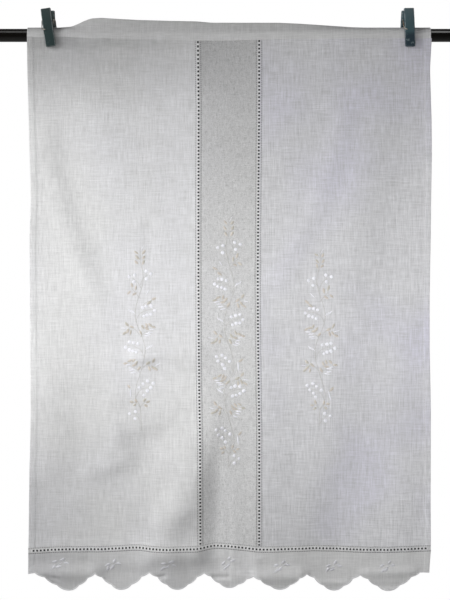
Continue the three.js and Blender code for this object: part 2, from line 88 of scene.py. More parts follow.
class Table:
    """Rows of numbers with named columns, read along one key column."""

    taps = 5

    def __init__(self, columns: str, rows: Sequence[Sequence[float]]) -> None:
        """Keep the rows.

        Args:
            columns: The columns' names, parted by spaces. The first one is the key.
            rows: The numbers, row by row.
        """
        values = np.array(sorted(rows), float)
        self.columns = {name: values[:, i] for i, name in enumerate(columns.split())}
        self.key = self.columns[columns.split()[0]]

    def at(self, column: str, key: Array | float, soften: float = 5.0) -> Array:
        """Read a column with its corners rounded off.

        Args:
            column: The column's name.
            key: Where to read it.
            soften: How far the corners are rounded off, in the key's unit.

        Returns:
            The column's values there.
        """
        values, around = self.columns[column], np.linspace(-soften, soften, self.taps)
        return sum(np.interp(np.asarray(key) + shift, self.key, values) for shift in around) / self.taps

    def curve(self, column: str, out: float = 0.0) -> Curve:
        """A column as a function of the key, moved out by so much."""
        return lambda key: self.at(column, key) + out


# Cloth, in millimetres
SOLID_CLOTH = 1.2
LINEN = 0.8
HEM_THICKNESS = 1.3
HEM_WIDTH = 7.2
SEAM_LAP = 0.3
TRIM_RISE = 0.1
BOTTOM_TRIM_RISE = TRIM_RISE + 0.03
ROD_RADIUS = 8.0
POCKET_GAP = 0.4
POCKET_RADIUS = ROD_RADIUS + POCKET_GAP + SOLID_CLOTH / 2
FOOT_GAP = 0.5
POCKET_FOOT = (-POCKET_RADIUS + SOLID_CLOTH + FOOT_GAP, -16.5)
FOLD_RADIUS = 1.3
HALF_TRIM = 3.8
HOLE_PITCH = 4.25
MIDDLE_Z = -300

# The columns of a hemmed edge, out from the edge, and the cloth's thickness there
HEM_COLUMNS = (0.0, 0.25, 0.8, 2.5, 4.5, 6.2, HEM_WIDTH - 0.45)
HEM_PROFILE = (0.7, 1.1, HEM_THICKNESS, HEM_THICKNESS, HEM_THICKNESS, HEM_THICKNESS, 1.2)

SIDES = Table(
    "z left right",
    (
        (10, -249.4, 248.2),
        (-3, -249.5, 249.4),
        (-43, -249.0, 247.0),
        (-104, -247.4, 249.0),
        (-147, -246.3, 249.4),
        (-203, -244.5, 248.5),
        (-252, -246.3, 247.9),
        (-326, -245.8, 246.5),
        (-387, -245.3, 246.6),
        (-461, -244.5, 248.1),
        (-572, -245.9, 247.7),
        (-634, -246.3, 248.1),
        (-661, -246.7, 246.2),
    ),
)
UPRIGHT_TRIMS = Table(
    "z left right",
    (
        (-6, -38.9, 36.6),
        (-92, -37.9, 36.6),
        (-215, -38.2, 35.5),
        (-300, -38.2, 34.9),
        (-363, -37.9, 35.1),
        (-437, -37.3, 36.0),
        (-498, -36.1, 36.7),
        (-630, -35.8, 36.5),
    ),
)
BOTTOM_TRIM = Table(
    "x z",
    (
        (-250, -635.3),
        (-206, -634.1),
        (-155, -634.1),
        (-112, -631.4),
        (-84, -633.3),
        (-39, -633.5),
        (-19, -630.7),
        (2, -631.4),
        (39, -635.0),
        (105, -633.4),
        (166, -635.4),
        (192, -635.4),
        (250, -633.4),
    ),
)
HEADER = Table(
    "x seam crest lean",
    (
        (-249.4, -3.8, 9.8, 0),
        (-232, -3.6, 9.6, 0),
        (-212, -3.4, 9.6, 0),
        (-195, -4.1, 10.8, -1.0),
        (-187, -4.6, 14.0, -2.0),
        (-179, -4.8, 17.7, -2.6),
        (-171, -4.9, 20.4, -3.0),
        (-159, -5.1, 21.3, -3.2),
        (-141, -5.5, 20.1, -3.2),
        (-114, -6.0, 18.6, -3.0),
        (-77, -6.8, 17.7, -2.8),
        (-41, -7.8, 16.9, -2.6),
        (-22, -7.8, 15.4, -2.4),
        (7, -7.8, 15.4, -2.2),
        (36, -6.8, 15.3, -2.0),
        (62, -6.3, 15.3, -1.8),
        (90, -5.9, 14.2, -1.4),
        (124, -5.6, 11.9, -0.8),
        (151, -5.4, 10.2, -0.3),
        (173, -5.3, 9.6, 0),
        (207, -5.1, 9.6, 0),
        (232, -5.3, 9.6, 0),
        (248.2, -5.4, 9.8, 0),
    ),
)


def smooth_step(value: Array, low: float, high: float) -> Array:
    """A share that rises softly from 0 at low to 1 at high."""
    share = np.clip((value - low) / (high - low), 0, 1)
    return share * share * (3 - 2 * share)


def distance(line: Array) -> Array:
    """How far along a line each of its points lies."""
    return np.concatenate(([0], np.cumsum(np.hypot(*np.diff(line, axis=0).T))))


def evenly(line: Array, steps: int) -> Array:
    """Points at even steps along a line.

    Args:
        line: The line's points, in two columns.
        steps: The number of steps.

    Returns:
        The points, one more than the steps.
    """
    run = distance(line)
    at = np.linspace(0, run[-1], steps + 1)
    return np.column_stack([np.interp(at, run, line[:, i]) for i in (0, 1)])


def direction(line: Array, axis: int = 0) -> Array:
    """The unit direction of lines at each of their points."""
    ahead = np.gradient(line, axis=axis)
    return ahead / np.linalg.norm(ahead, axis=-1, keepdims=True)


def circle(sides: int) -> Array:
    """Points around a circle of radius 1."""
    angles = np.arange(sides) * 2 * np.pi / sides
    return np.column_stack((np.cos(angles), np.sin(angles)))


@dataclass(frozen=True)
class Fold:
    """A soft fold along a bent line, in millimetres. Lift comes forward, and minus goes back."""

    width: float
    lift: float
    route: tuple[Place, ...]
    end_share: ClassVar[float] = 0.2

    def at(self, x: Array, z: Array) -> Array:
        """How far the fold lifts the cloth at these places, fading towards its ends."""
        knots = np.array(self.route, float)
        runs = np.diff(knots, axis=0)
        lengths = np.hypot(*runs.T)
        nearest, share, done = np.full(x.shape, np.inf), np.zeros(x.shape), 0.0
        for start, run, length in zip(knots, runs, lengths):
            along = np.clip(((x - start[0]) * run[0] + (z - start[1]) * run[1]) / length**2, 0, 1)
            away = np.hypot(x - start[0] - along * run[0], z - start[1] - along * run[1])
            share = np.where(away < nearest, (done + along * length) / lengths.sum(), share)
            nearest = np.minimum(away, nearest)
            done += length
        ends = smooth_step(share, 0, self.end_share) * (1 - smooth_step(share, 1 - self.end_share, 1))
        return self.lift * ends * np.exp(-((nearest / self.width) ** 2))


# The broad folds
FOLDS = (
    Fold(15, 1.9, ((-233, -75), (-223, -143), (-209, -211), (-187, -272), (-159, -334), (-145, -371))),
    Fold(18, -1.9, ((-214, -106), (-201, -162), (-187, -211), (-169, -254), (-155, -291), (-135, -334))),
    Fold(10, -1.4, ((-100, -223), (-100, -291))),
    Fold(26, 1.6, ((-166, -57), (-155, -118), (-132, -223))),
    Fold(45, 7.5, ((-278, -476), (-268, -599), (-265, -697), (-265, -845))),
    Fold(16, 1.5, ((-227, -389), (-225, -451), (-222, -537), (-221, -574))),
    Fold(14, -1.4, ((-187, -420), (-184, -562))),
    Fold(15, 1.8, ((-142, -426), (-145, -549))),
    Fold(16, -1.4, ((-95, -457), (-103, -549))),
    Fold(13, 2.0, ((-152, -490), (-78, -476))),
    Fold(12, 1.5, ((-191, -537), (-108, -520))),
    Fold(11, 5.2, ((-132, -397), (-110, -398), (-73, -397), (-12, -396))),
    Fold(33, 7.2, ((-22, -408), (-30, -451), (-45, -527), (-82, -636), (-100, -710), (-122, -796))),
    Fold(12, -4.6, ((-17, -481), (-17, -549), (-18, -697), (-19, -820))),
    Fold(26, 2.2, ((40, -365), (41, -488), (43, -820))),
    Fold(15, 1.8, ((148, -57), (136, -118), (111, -205), (57, -306), (33, -343))),
    Fold(24, 1.7, ((190, -8), (178, -106), (151, -254), (121, -451), (114, -519), (79, -623), (62, -820))),
    Fold(24, -1.7, ((240, -8), (227, -106), (203, -254), (168, -451), (163, -525), (129, -636), (109, -820))),
    Fold(24, 1.6, ((225, -476), (212, -549), (205, -648), (198, -796))),
    Fold(15, 3.4, ((-283, -634), (-246, -636), (-24, -637), (13, -637))),
)
FOLD_TOP = -14.0
FOLD_FULL = -70.0

# The finer creases and the curls of the scallops
CREASES = (
    Fold(6, -0.8, ((-214, 2), (-201, -3), (-159, -17), (-147, -25))),
    Fold(3, -0.5, ((-233, -8), (-231, -11), (-225, -22), (-222, -27))),
    Fold(5, 1.0, ((-167, -399), (-142, -400), (-95, -399), (-60, -398))),
    Fold(10.5, -2.9, ((-103, -398), (-14, -397))),
    Fold(10, 0.9, ((-189, -552), (-177, -545), (-130, -530), (-118, -526))),
    Fold(20, -3.0, ((-31, -451), (-58, -483), (-110, -513), (-137, -522))),
    Fold(18, 2.8, ((-26, -522), (-46, -557), (-71, -599), (-88, -630))),
    Fold(4, -0.5, ((28, -503), (151, -504), (166, -505))),
    Fold(3.5, -0.8, ((-1, -519), (-1, -537), (-1, -820))),
    Fold(4, -0.4, ((-36, -535), (33, -535))),
    Fold(8, 0.8, ((136, -577), (148, -580), (210, -599), (222, -604))),
    Fold(7, 1.2, ((-248, -205), (-248, -242), (-247, -365))),
    Fold(13, 2.2, ((-252, -389), (-252, -451), (-252, -820))),
    Fold(18, 2.4, ((-98, -590), (-29, -586))),
    Fold(9, 1.0, ((-19, -451), (-19, -537))),
    Fold(2.2, -0.8, ((214, 12), (214, -17))),
    Fold(10, 4.6, ((-253, -663), (-227, -663), (-172, -664), (-147, -664))),
    Fold(2.4, -1.3, ((-229, -667), (-216, -669), (-206, -672))),
    Fold(9, 1.8, ((-177, -652), (-90, -652))),
    Fold(13, 3.2, ((-110, -642), (-24, -643))),
    Fold(8, 1.4, ((-18, -638), (-18, -685))),
    Fold(8, 1.3, ((33, -639), (33, -679))),
    Fold(2.4, -1.9, ((-98, -670), (-88, -668), (-76, -666))),
    Fold(9, 2.2, ((-36, -670), (40, -669))),
    Fold(2.4, -2.1, ((-26, -670), (3, -669))),
    Fold(9, 4.6, ((23, -668), (102, -667))),
    Fold(4, 1.6, ((102, -676), (153, -676))),
    Fold(6, 2.6, ((153, -665), (240, -661))),
    Fold(4, -1.2, ((168, -680), (220, -680))),
)


@dataclass(frozen=True)
class Pucker:
    """The small waves that a trim draws into the cloth beside it, in millimetres."""

    lift: float
    wave: float
    sway: float
    sway_wave: float
    start: float = 0.0
    reach: float = 13.0

    def at(self, away: Array, along: Array) -> Array:
        """How far the waves lift the cloth, so far away from the trim's middle and along it."""
        beat = along / self.wave + self.start + self.sway * np.sin(along / self.sway_wave)
        return self.lift * np.exp(-((away / self.reach) ** 2)) * np.sin(beat)


LEFT_PUCKER = Pucker(0.28, 4.1, 0.9, 23)
RIGHT_PUCKER = Pucker(0.28, 4.1, 0.9, 23, start=1.7)
BOTTOM_PUCKER = Pucker(0.32, 4.3, 1.1, 31)


class Drape:
    """The hanging cloth's surface, in millimetres."""

    @staticmethod
    def middle(x: Array, z: Array) -> Array:
        """Depth of the middle of the cloth's thickness at these places."""
        x, z = np.asarray(x, float), np.asarray(z, float)
        fade = smooth_step(-z, -FOLD_TOP, -FOLD_FULL)
        lift = fade * sum(fold.at(x, z) for fold in FOLDS)
        lift = lift + sum(crease.at(x, z) for crease in CREASES)
        return -POCKET_RADIUS - lift - fade * Drape.pucker(x, z)

    @staticmethod
    def pucker(x: Array, z: Array) -> Array:
        """The small waves beside all three trims."""
        left = LEFT_PUCKER.at(x - UPRIGHT_TRIMS.at("left", z), z)
        right = RIGHT_PUCKER.at(x - UPRIGHT_TRIMS.at("right", z), z)
        return left + right + BOTTOM_PUCKER.at(z - BOTTOM_TRIM.at("z", x), x)

    @staticmethod
    def front(x: Array, z: Array) -> Array:
        """Depth of the cloth's front face at these places."""
        return Drape.middle(x, z) - LINEN / 2


# Shader expressions


class Number:
    """A number socket that takes part in Python expressions."""

    def __init__(self, graph: "Graph", socket: Any) -> None:
        """Keep the socket and the tree that it is in."""
        self.graph = graph
        self.socket = socket

    def math(self, operation: str, *others: Any, first: bool = True) -> "Number":
        """Add a Math node.

        Args:
            operation: The node's operation.
            others: The other numbers that it takes.
            first: Whether this number comes first.

        Returns:
            The node's result.
        """
        values = [self, *others] if first else [*others, self]
        node = self.graph.node("Math", {"operation": operation}, dict(enumerate(values)))
        return Number(self.graph, node.outputs[0])

    def __add__(self, other: Any) -> "Number":
        """Sum."""
        return self.math("ADD", other)

    def __sub__(self, other: Any) -> "Number":
        """Difference."""
        return self.math("SUBTRACT", other)

    def __rsub__(self, other: Any) -> "Number":
        """Difference, the other way round."""
        return self.math("SUBTRACT", other, first=False)

    def __mul__(self, other: Any) -> "Number":
        """Product."""
        return self.math("MULTIPLY", other)

    __radd__ = __add__
    __rmul__ = __mul__

    def sine(self) -> "Number":
        """Sine."""
        return self.math("SINE")

    def absolute(self) -> "Number":
        """Distance from 0."""
        return self.math("ABSOLUTE")

    def off_beat(self, step: float) -> "Number":
        """Distance to the nearest whole multiple of a step."""
        return self.math("PINGPONG", step / 2)

    def ramp(self, low: float, high: float) -> "Number":
        """A soft share that rises from 0 at low to 1 at high."""
        settings = {"interpolation_type": "SMOOTHSTEP"}
        inputs = {"Value": self, "From Min": low, "From Max": high}
        return Number(self.graph, self.graph.node("MapRange", settings, inputs).outputs["Result"])


class Graph:
    """A node tree, with one method that adds any node."""

    def __init__(self, tree: bpy.types.NodeTree) -> None:
        """Empty the tree."""
        self.tree = tree
        tree.nodes.clear()

    def node(
        self, kind: str, settings: dict[str, Any] | None = None, inputs: dict[Any, Any] | None = None
    ) -> bpy.types.Node:
        """Add a node.

        Args:
            kind: The node's type, without ShaderNode.
            settings: The node's own settings.
            inputs: Values or links for its sockets, by name or place.

        Returns:
            The new node.
        """
        node = self.tree.nodes.new("ShaderNode" + kind)
        for key, value in (settings or {}).items():
            setattr(node, key, value)
        for key, value in (inputs or {}).items():
            if isinstance(value, Number):
                value = value.socket
            if isinstance(value, Socket):
                self.tree.links.new(value, node.inputs[key])
            else:
                node.inputs[key].default_value = value
        return node

    def place(self, kind: str = "Object") -> Socket:
        """Object coordinates, in metres, or another kind, such as UV."""
        return self.node("TexCoord").outputs[kind]

    def split(self, place: Socket) -> list[Number]:
        """The X, Y and Z of coordinates."""
        return [Number(self, part) for part in self.node("SeparateXYZ", {}, {0: place}).outputs]

    def speckle(self, place: Socket, waves: float, detail: float = 2.0) -> Number:
        """Noise that is alike in all directions, with so many waves in a metre."""
        return self.noise(place, (waves, waves, waves), detail)

    def noise(self, place: Socket, scale: Sequence[float], detail: float = 2.0) -> Number:
        """Noise with a scale of its own along each axis.

        Args:
            place: The coordinates.
            scale: Waves in a metre along X, Y and Z.
            detail: How many finer layers it has.

        Returns:
            The noise, about 0.5 on average.
        """
        mapped = self.node("Mapping", {}, {"Vector": place, "Scale": scale}).outputs["Vector"]
        node = self.node("TexNoise", {}, {"Vector": mapped, "Scale": 1.0, "Detail": detail})
        return Number(self, node.outputs["Fac"])

    def mix(self, share: Number, low: Any, high: Any) -> Socket:
        """Mix two colours by a share."""
        ends = [(*end, 1) if isinstance(end, tuple) else end for end in (low, high)]
        return self.node("Mix", {"data_type": "RGBA"}, {0: share, 6: ends[0], 7: ends[1]}).outputs[2]

    def scaled(self, colour: Socket, factor: Number) -> Socket:
        """Make a colour lighter or darker by a factor."""
        return self.node("VectorMath", {"operation": "SCALE"}, {0: colour, "Scale": factor}).outputs["Vector"]

    def bump(self, height: Number, depth: float, strength: float = 1.0) -> Socket:
        """A normal from a height, with the depth in metres."""
        inputs = {"Height": height, "Distance": depth, "Strength": strength}
        return self.node("Bump", {}, inputs).outputs["Normal"]

    def shade(self, colour: Any, roughness: Any, normal: Any, others: dict[str, Any]) -> None:
        """End the tree in a Principled shader.

        Args:
            colour: Its colour.
            roughness: Its roughness.
            normal: Its normal.
            others: Its other inputs, by name.
        """
        inputs = {"Base Color": colour, "Roughness": roughness, "Normal": normal, **others}
        shader = self.node("BsdfPrincipled", {}, inputs)
        self.node("OutputMaterial", {}, {"Surface": shader.outputs["BSDF"]})


@dataclass(frozen=True)
class Finish:
    """A procedural finish. Each kind of it says how its tree is made. Reliefs are in millimetres."""

    name: str

    def material(self) -> bpy.types.Material:
        """Build the material."""
        material = bpy.data.materials.new(self.name)
        material.use_nodes = True
        self.paint(Graph(material.node_tree))
        return material

    def paint(self, graph: Graph) -> None:
        """Build the finish's tree."""
        raise NotImplementedError


CLOTH_SHINE = {"Specular IOR Level": 0.2, "Sheen Weight": 0.12}

# Waves in a metre of the cloth's noises, along X, Y and Z
CLOUD_WAVES = (14, 0, 9)
GRAIN_WAVES = (900, 0, 700)
FLECK_WAVES = (420, 0, 260)
TINT_WAVES = (6, 0, 5)
TRIM_WAVES = (900, 0, 900)
TRIM_CLOUD_WAVES = (300, 0, 300)
TRIM_TINT_WAVES = (5, 0, 4)

# What the slubs of the upright and the level threads add, and their mean
UPRIGHT_SLUBS = 1.15
LEVEL_SLUBS = 0.85
MEAN_SLUBS = 1.6

# Where painted light and shade change the cloth's colour, in metres: the painted shade and the dark band of
# painted shade under the seam, where both fade to the right and the share that they lose there, the lighter
# foot of painted light, and the two corners, across and up, with painted shade left and painted light right
SEAM_SHADE = (-0.11, -0.015)
SEAM_SHADE_BAND = (-0.022, -0.013)
SHADE_ACROSS = (-0.21, 0.12)
SHADE_LOSS = 0.95
FOOT = (-0.34, -0.11)
LEFT_CORNER_SHADE = ((-0.23, -0.02), (-0.56, -0.36))
RIGHT_CORNER_LIGHT = ((0.09, 0.215), (-0.62, -0.47))

# Where the bars between a trim's holes and the needle's pricks beside them fade, in millimetres. The pricks
# are painted dark: painted shade in their small holes
BAR_ACROSS = (0.7, 1.7)
BAR_ALONG = (0.25, 0.8)
PRICK_ACROSS = (0.2, 0.7)
PRICK_ALONG = (0.35, 0.85)
LOWER_ROW = (0.1, 0.6)


@dataclass(frozen=True)
class LinenFinish(Finish):
    """Plain linen with slubs along both threads. Its UV map counts from the hem, in millimetres.

    The relief and the pitch are in millimetres, the slubs' length is in metres, and the waves are those in a
    metre. From slubs on the fields are shares of the tone.
    """

    light: Colour
    dark: Colour
    tint: Colour
    roughness: float = 0.88
    relief: float = 0.12
    pitch: float = 0.72
    slub_length: float = 0.016
    fine_waves: float = 800
    coarse_waves: float = 380
    slubs: float = 0.55
    coarse: float = 0.6
    clouds: float = 0.25
    grain: float = 0.3
    flecks: float = 0.0
    weave: float = 0.04
    hem: float = 0.0
    # band and shade paint shade under the seam, foot paints light at the foot, and the corners paint shade in
    # the lower left and light in the lower right
    band: float = 0.0
    shade: float = 0.0
    foot: float = 0.0
    left_corner_shade: float = 0.0
    right_corner_light: float = 0.0

    def colour(self, graph: Graph, share: Number, cloud: Number) -> Socket:
        """Colour the threads, a little tinted in places.

        Args:
            graph: The material's tree.
            share: How light each thread is.
            cloud: A broad noise for the tint.

        Returns:
            The colour.
        """
        plain = graph.mix(share, self.dark, self.light)
        return graph.mix(cloud.ramp(0.42, 0.66), plain, graph.mix(share, self.dark, self.tint))

    def tone(self, graph: Graph, place: Socket) -> Number:
        """How painted light and shade change the cloth's tone with the place: under the seam, at the foot and
        in its corners, where the lower left one is darker and the lower right one lighter.

        Args:
            graph: The material's tree.
            place: The coordinates.

        Returns:
            A factor of the colour.
        """
        across, _, up = graph.split(place)
        reach = 1 - across.ramp(*SHADE_ACROSS) * SHADE_LOSS
        left = (1 - up.ramp(*LEFT_CORNER_SHADE[1])) * (1 - across.ramp(*LEFT_CORNER_SHADE[0]))
        right = (1 - up.ramp(*RIGHT_CORNER_LIGHT[1])) * across.ramp(*RIGHT_CORNER_LIGHT[0])
        # Painted shade under the seam and a darker band of it, both fading to the right
        tone = 1 - up.ramp(*SEAM_SHADE) * reach * self.shade
        tone = tone - up.ramp(*SEAM_SHADE_BAND) * reach * self.band
        # Painted light at the foot and in the lower right corner, and painted shade in the lower left one
        tone = tone + (1 - up.ramp(*FOOT)) * self.foot
        return tone + right * self.right_corner_light - left * self.left_corner_shade

    def paint(self, graph: Graph) -> None:
        """Build the finish's tree."""
        place = graph.place()
        across, _, up = graph.split(place)
        turn = 2 * math.pi / (self.pitch * MM)
        warp, weft = (across * turn).sine(), (up * turn).sine()
        upright, level = self.slub(graph, place, 1), self.slub(graph, place, -1)
        slubs = upright * UPRIGHT_SLUBS + level * LEVEL_SLUBS - MEAN_SLUBS
        broad = graph.noise(place, CLOUD_WAVES, 3)
        share = 0.5 + self.slubs * slubs + (broad - 0.5) * self.clouds
        share = share + (graph.noise(place, GRAIN_WAVES) - 0.5) * self.grain
        if self.flecks:
            share = share - graph.noise(place, FLECK_WAVES, 1).ramp(0.56, 0.72) * self.flecks
        share = share + warp * weft * self.weave
        if self.hem:
            inside = graph.split(graph.place("UV"))[0].ramp(HEM_WIDTH - 0.7, HEM_WIDTH)
            share = share + (1 - inside) * self.hem
        colour = self.colour(graph, share, graph.noise(place, TINT_WAVES))
        height = warp * 0.5 + weft * 0.5 + (upright + level) * 1.2
        # The colour takes the painted light and shade of the tone
        colour = graph.scaled(colour, self.tone(graph, place))
        graph.shade(colour, self.roughness, graph.bump(height, self.relief * MM), CLOTH_SHINE)

    def slub(self, graph: Graph, place: Socket, order: int) -> Number:
        """Thicker stretches of thread, fine ones and coarse ones.

        Args:
            graph: The material's tree.
            place: The coordinates.
            order: 1 for the upright threads, -1 for the level ones.

        Returns:
            The noise of both.
        """
        fine = (self.fine_waves, 0, 1.0 / self.slub_length)[::order]
        coarse = (self.coarse_waves, 0, 0.5 / self.slub_length)[::order]
        return graph.noise(place, fine) + graph.noise(place, coarse) * self.coarse


@dataclass(frozen=True)
class TrimFinish(Finish):
    """Hemstitched linen. Its UV map is the place across and along the trim, in millimetres."""

    cloth: LinenFinish
    other: LinenFinish
    other_side: float = 0.0
    lower_row: float = 0.0
    # A factor that darkens the trim's colour: painted shade in place of the shade of the panels' fine weave
    # relief
    weave_shade: float = 0.9
    bar: Colour = (0.70, 0.70, 0.70)
    # The pricks' dark colour: painted shade
    prick_shade: Colour = (0.12, 0.12, 0.12)
    row: float = 3.3
    roughness: float = 0.85
    relief: float = 0.25

    def paint(self, graph: Graph) -> None:
        """Build the finish's tree."""
        place = graph.place()
        across, along, _ = graph.split(graph.place("UV"))
        threads = graph.noise(place, TRIM_WAVES)
        share = 0.5 + (threads - 0.5) * 0.8 + (graph.noise(place, TRIM_CLOUD_WAVES) - 0.5) * 0.5
        cloud = graph.noise(place, TRIM_TINT_WAVES, 1)
        colour = self.cloth.colour(graph, share, cloud)
        if self.other_side:
            beyond = (across * self.other_side).ramp(0.5, 1.1)
            colour = graph.mix(beyond, colour, self.other.colour(graph, share, cloud))
        # The cloth's painted light and shade, and the trim's darkening factor, also painted shade
        colour = graph.scaled(colour, self.cloth.tone(graph, place) * self.weave_shade)
        between = 1 - along.off_beat(HOLE_PITCH).ramp(*BAR_ALONG)
        bars = between * (1 - across.absolute().ramp(*BAR_ACROSS))
        colour = graph.mix(bars, colour, self.bar)
        # The needle's pricks, sunk and painted dark: painted shade in their small holes
        near = 1 - (across.absolute() - self.row).absolute().ramp(*PRICK_ACROSS)
        pricks = near * (1 - along.off_beat(HOLE_PITCH / 2).ramp(*PRICK_ALONG))
        if self.lower_row:
            pricks = pricks + (1 - (across + self.row).absolute().ramp(*LOWER_ROW)) * self.lower_row
        colour = graph.mix(pricks * 0.7, colour, self.prick_shade)
        normal = graph.bump(threads + bars * 0.8 - pricks * 1.5, self.relief * MM)
        graph.shade(colour, self.roughness, normal, CLOTH_SHINE)


@dataclass(frozen=True)
class ThreadFinish(Finish):
    """Satin stitches, whose threads lie across the length of the stitched form."""

    light: Colour
    dark: Colour
    tint: Colour | None = None
    pitch: float = 0.42
    sheen: float = 0.25
    roughness: float = 0.5
    relief: float = 0.08

    def paint(self, graph: Graph) -> None:
        """Build the finish's tree."""
        lines = (graph.split(graph.place("UV"))[0] * (2 * math.pi / self.pitch)).sine()
        patches = graph.speckle(graph.place(), 240)
        share = 0.5 + lines * 0.22 + (patches - 0.5) * 1.2
        colour = graph.mix(share, self.dark, self.light)
        if self.tint:
            hue = graph.speckle(graph.place(), 130, 1)
            colour = graph.mix(hue.ramp(0.45, 0.62), colour, graph.mix(share, self.dark, self.tint))
        normal = graph.bump(lines, self.relief * MM)
        graph.shade(colour, self.roughness, normal, {"Sheen Weight": self.sheen})


@dataclass(frozen=True)
class PaintFinish(Finish):
    """A painted or moulded surface with faint scuffs."""

    colour: Colour
    scuff: Colour
    roughness: float
    scuffed: float = 0.62
    shine: float = 0.5
    metallic: float = 0.0
    lower: Colour | None = None
    relief: float = 0.03

    def paint(self, graph: Graph) -> None:
        """Build the finish's tree."""
        place = graph.place()
        colour = self.colour
        if self.lower:
            up = graph.split(place)[2]
            colour = graph.mix(up.ramp(-3 * MM, 4 * MM), self.lower, self.colour)
        blotch = graph.speckle(place, 160, 4)
        grain = graph.speckle(place, 900)
        worn = blotch.ramp(self.scuffed, self.scuffed + 0.08)
        colour = graph.mix(worn, colour, self.scuff)
        roughness = self.roughness + (blotch - 0.5) * 0.25 + worn * 0.2
        shine = {"Metallic": self.metallic, "Specular IOR Level": self.shine}
        graph.shade(colour, roughness, graph.bump(grain, self.relief * MM, 0.6), shine)


def grey(tone: float) -> Colour:
    """A grey of this tone."""
    return (tone, tone, tone)


# In these linens the band, shade, foot and corner values paint light and shade into the colour
WHITE_LINEN = LinenFinish(
    "white_linen",
    grey(0.79),
    grey(0.465),
    (0.785, 0.785, 0.81),
    slubs=0.72,
    hem=0.06,
    band=0.09,
    shade=0.32,
    left_corner_shade=0.13,
)
# The cool, border and casing linens are darker copies of the white linen: their lower tone is painted shade
TINTED_LINEN = LinenFinish(
    "cool_white_linen",
    (0.72, 0.72, 0.74),
    (0.42, 0.42, 0.43),
    (0.68, 0.67, 0.77),
    slubs=0.9,
    hem=0.1,
    band=0.12,
    shade=0.3,
    right_corner_light=0.17,
)
BORDER_LINEN = LinenFinish(
    "border_linen",
    grey(0.73),
    grey(0.44),
    (0.73, 0.73, 0.75),
    hem=0.06,
    left_corner_shade=0.13,
    right_corner_light=0.07,
)
CASING_LINEN = LinenFinish("casing_linen", grey(0.73), grey(0.42), (0.73, 0.73, 0.745), shade=0.17)
NATURAL_LINEN = LinenFinish(
    "natural_linen",
    grey(0.71),
    grey(0.34),
    (0.70, 0.70, 0.71),
    pitch=0.55,
    slubs=0.5,
    slub_length=0.007,
    grain=0.95,
    flecks=0.2,
    band=0.05,
    shade=0.47,
    foot=0.13,
)
LEFT_HEMSTITCH = TrimFinish("left_hemstitch", WHITE_LINEN, NATURAL_LINEN, 1.0)
RIGHT_HEMSTITCH = TrimFinish("right_hemstitch", TINTED_LINEN, NATURAL_LINEN, -1.0)
BOTTOM_HEMSTITCH = TrimFinish("bottom_hemstitch", WHITE_LINEN, NATURAL_LINEN, lower_row=0.35)
# The dark floors of the trims' holes: painted shade
HOLE_SHADE = PaintFinish("hole_shade", grey(0.02), grey(0.04), 0.9)
BEIGE_THREAD = ThreadFinish("beige_thread", (0.71, 0.655, 0.595), (0.49, 0.445, 0.395), (0.57, 0.565, 0.50))
WHITE_THREAD = ThreadFinish("white_thread", (0.92, 0.92, 0.97), (0.77, 0.77, 0.83))
SPRIG_THREAD = ThreadFinish("sprig_thread", (0.76, 0.76, 0.79), (0.60, 0.60, 0.64))
STEM_THREAD = ThreadFinish("stem_thread", (0.58, 0.57, 0.55), (0.43, 0.42, 0.40), roughness=0.65)
EDGE_THREAD = ThreadFinish("edge_thread", (0.74, 0.74, 0.75), (0.60, 0.60, 0.61))
ROD_PAINT = PaintFinish("rod_paint", (0.002, 0.0015, 0.001), (0.009, 0.007, 0.005), 0.12, 0.66, 0.2)
DARK_PEG = PaintFinish("dark_peg", (0.027, 0.042, 0.042), (0.07, 0.085, 0.08), 0.4, shine=0.06)
# The lighter finishes of the pegs' rounded edges are painted highlights
DARK_PEG_EDGE_HIGHLIGHT = PaintFinish("dark_peg_edge_highlight", (0.20, 0.22, 0.22), (0.06, 0.07, 0.07), 0.45, 0.5)
SLATE_PEG = PaintFinish(
    "slate_peg",
    (0.048, 0.086, 0.098),
    (0.10, 0.13, 0.14),
    0.4,
    shine=0.06,
    lower=(0.024, 0.039, 0.05),
)
SLATE_PEG_EDGE_HIGHLIGHT = PaintFinish("slate_peg_edge_highlight", (0.20, 0.23, 0.25), (0.05, 0.07, 0.08), 0.45, 0.5)
WIRE = PaintFinish("wire_steel", (0.36, 0.33, 0.29), (0.16, 0.09, 0.05), 0.35, 0.55, metallic=0.9)
FLOOR_PAINT = PaintFinish("pale_floor", grey(0.86), grey(0.84), 0.7)


# Making meshes


def make_object(name: str, points: Array, faces: Faces) -> Piece:
    """Make an object from points.

    Args:
        name: The piece's name.
        points: Its points, in millimetres.
        faces: Its faces, as places in the points.

    Returns:
        The object, linked to the scene.
    """
    mesh = bpy.data.meshes.new(name)
    mesh.from_pydata((np.asarray(points, float) * MM).tolist(), [], faces)
    piece = bpy.data.objects.new(name, mesh)
    bpy.context.scene.collection.objects.link(piece)
    return piece


def deselect_all() -> None:
    """Leave nothing selected, and no edit mode open."""
    if bpy.context.mode != "OBJECT":
        bpy.ops.object.mode_set(mode="OBJECT")
    bpy.ops.object.select_all(action="DESELECT")


def make_active(piece: Piece) -> None:
    """Select one object alone."""
    deselect_all()
    piece.select_set(True)
    bpy.context.view_layer.objects.active = piece


def select_points(piece: Piece, wanted: Callable[[Any], bool]) -> None:
    """In edit mode, select the points that wanted picks by their place."""
    bpy.ops.mesh.select_all(action="DESELECT")
    bpy.ops.mesh.select_mode(type="VERT")
    shape = bmesh.from_edit_mesh(piece.data)
    for point in shape.verts:
        point.select = wanted(point.co)
    shape.select_flush(True)
    bmesh.update_edit_mesh(piece.data)


def smooth(piece: Piece, degrees: float = 40) -> None:
    """Shade a piece smooth, but for edges sharper than an angle."""
    make_active(piece)
    bpy.ops.object.shade_smooth_by_angle(angle=math.radians(degrees))


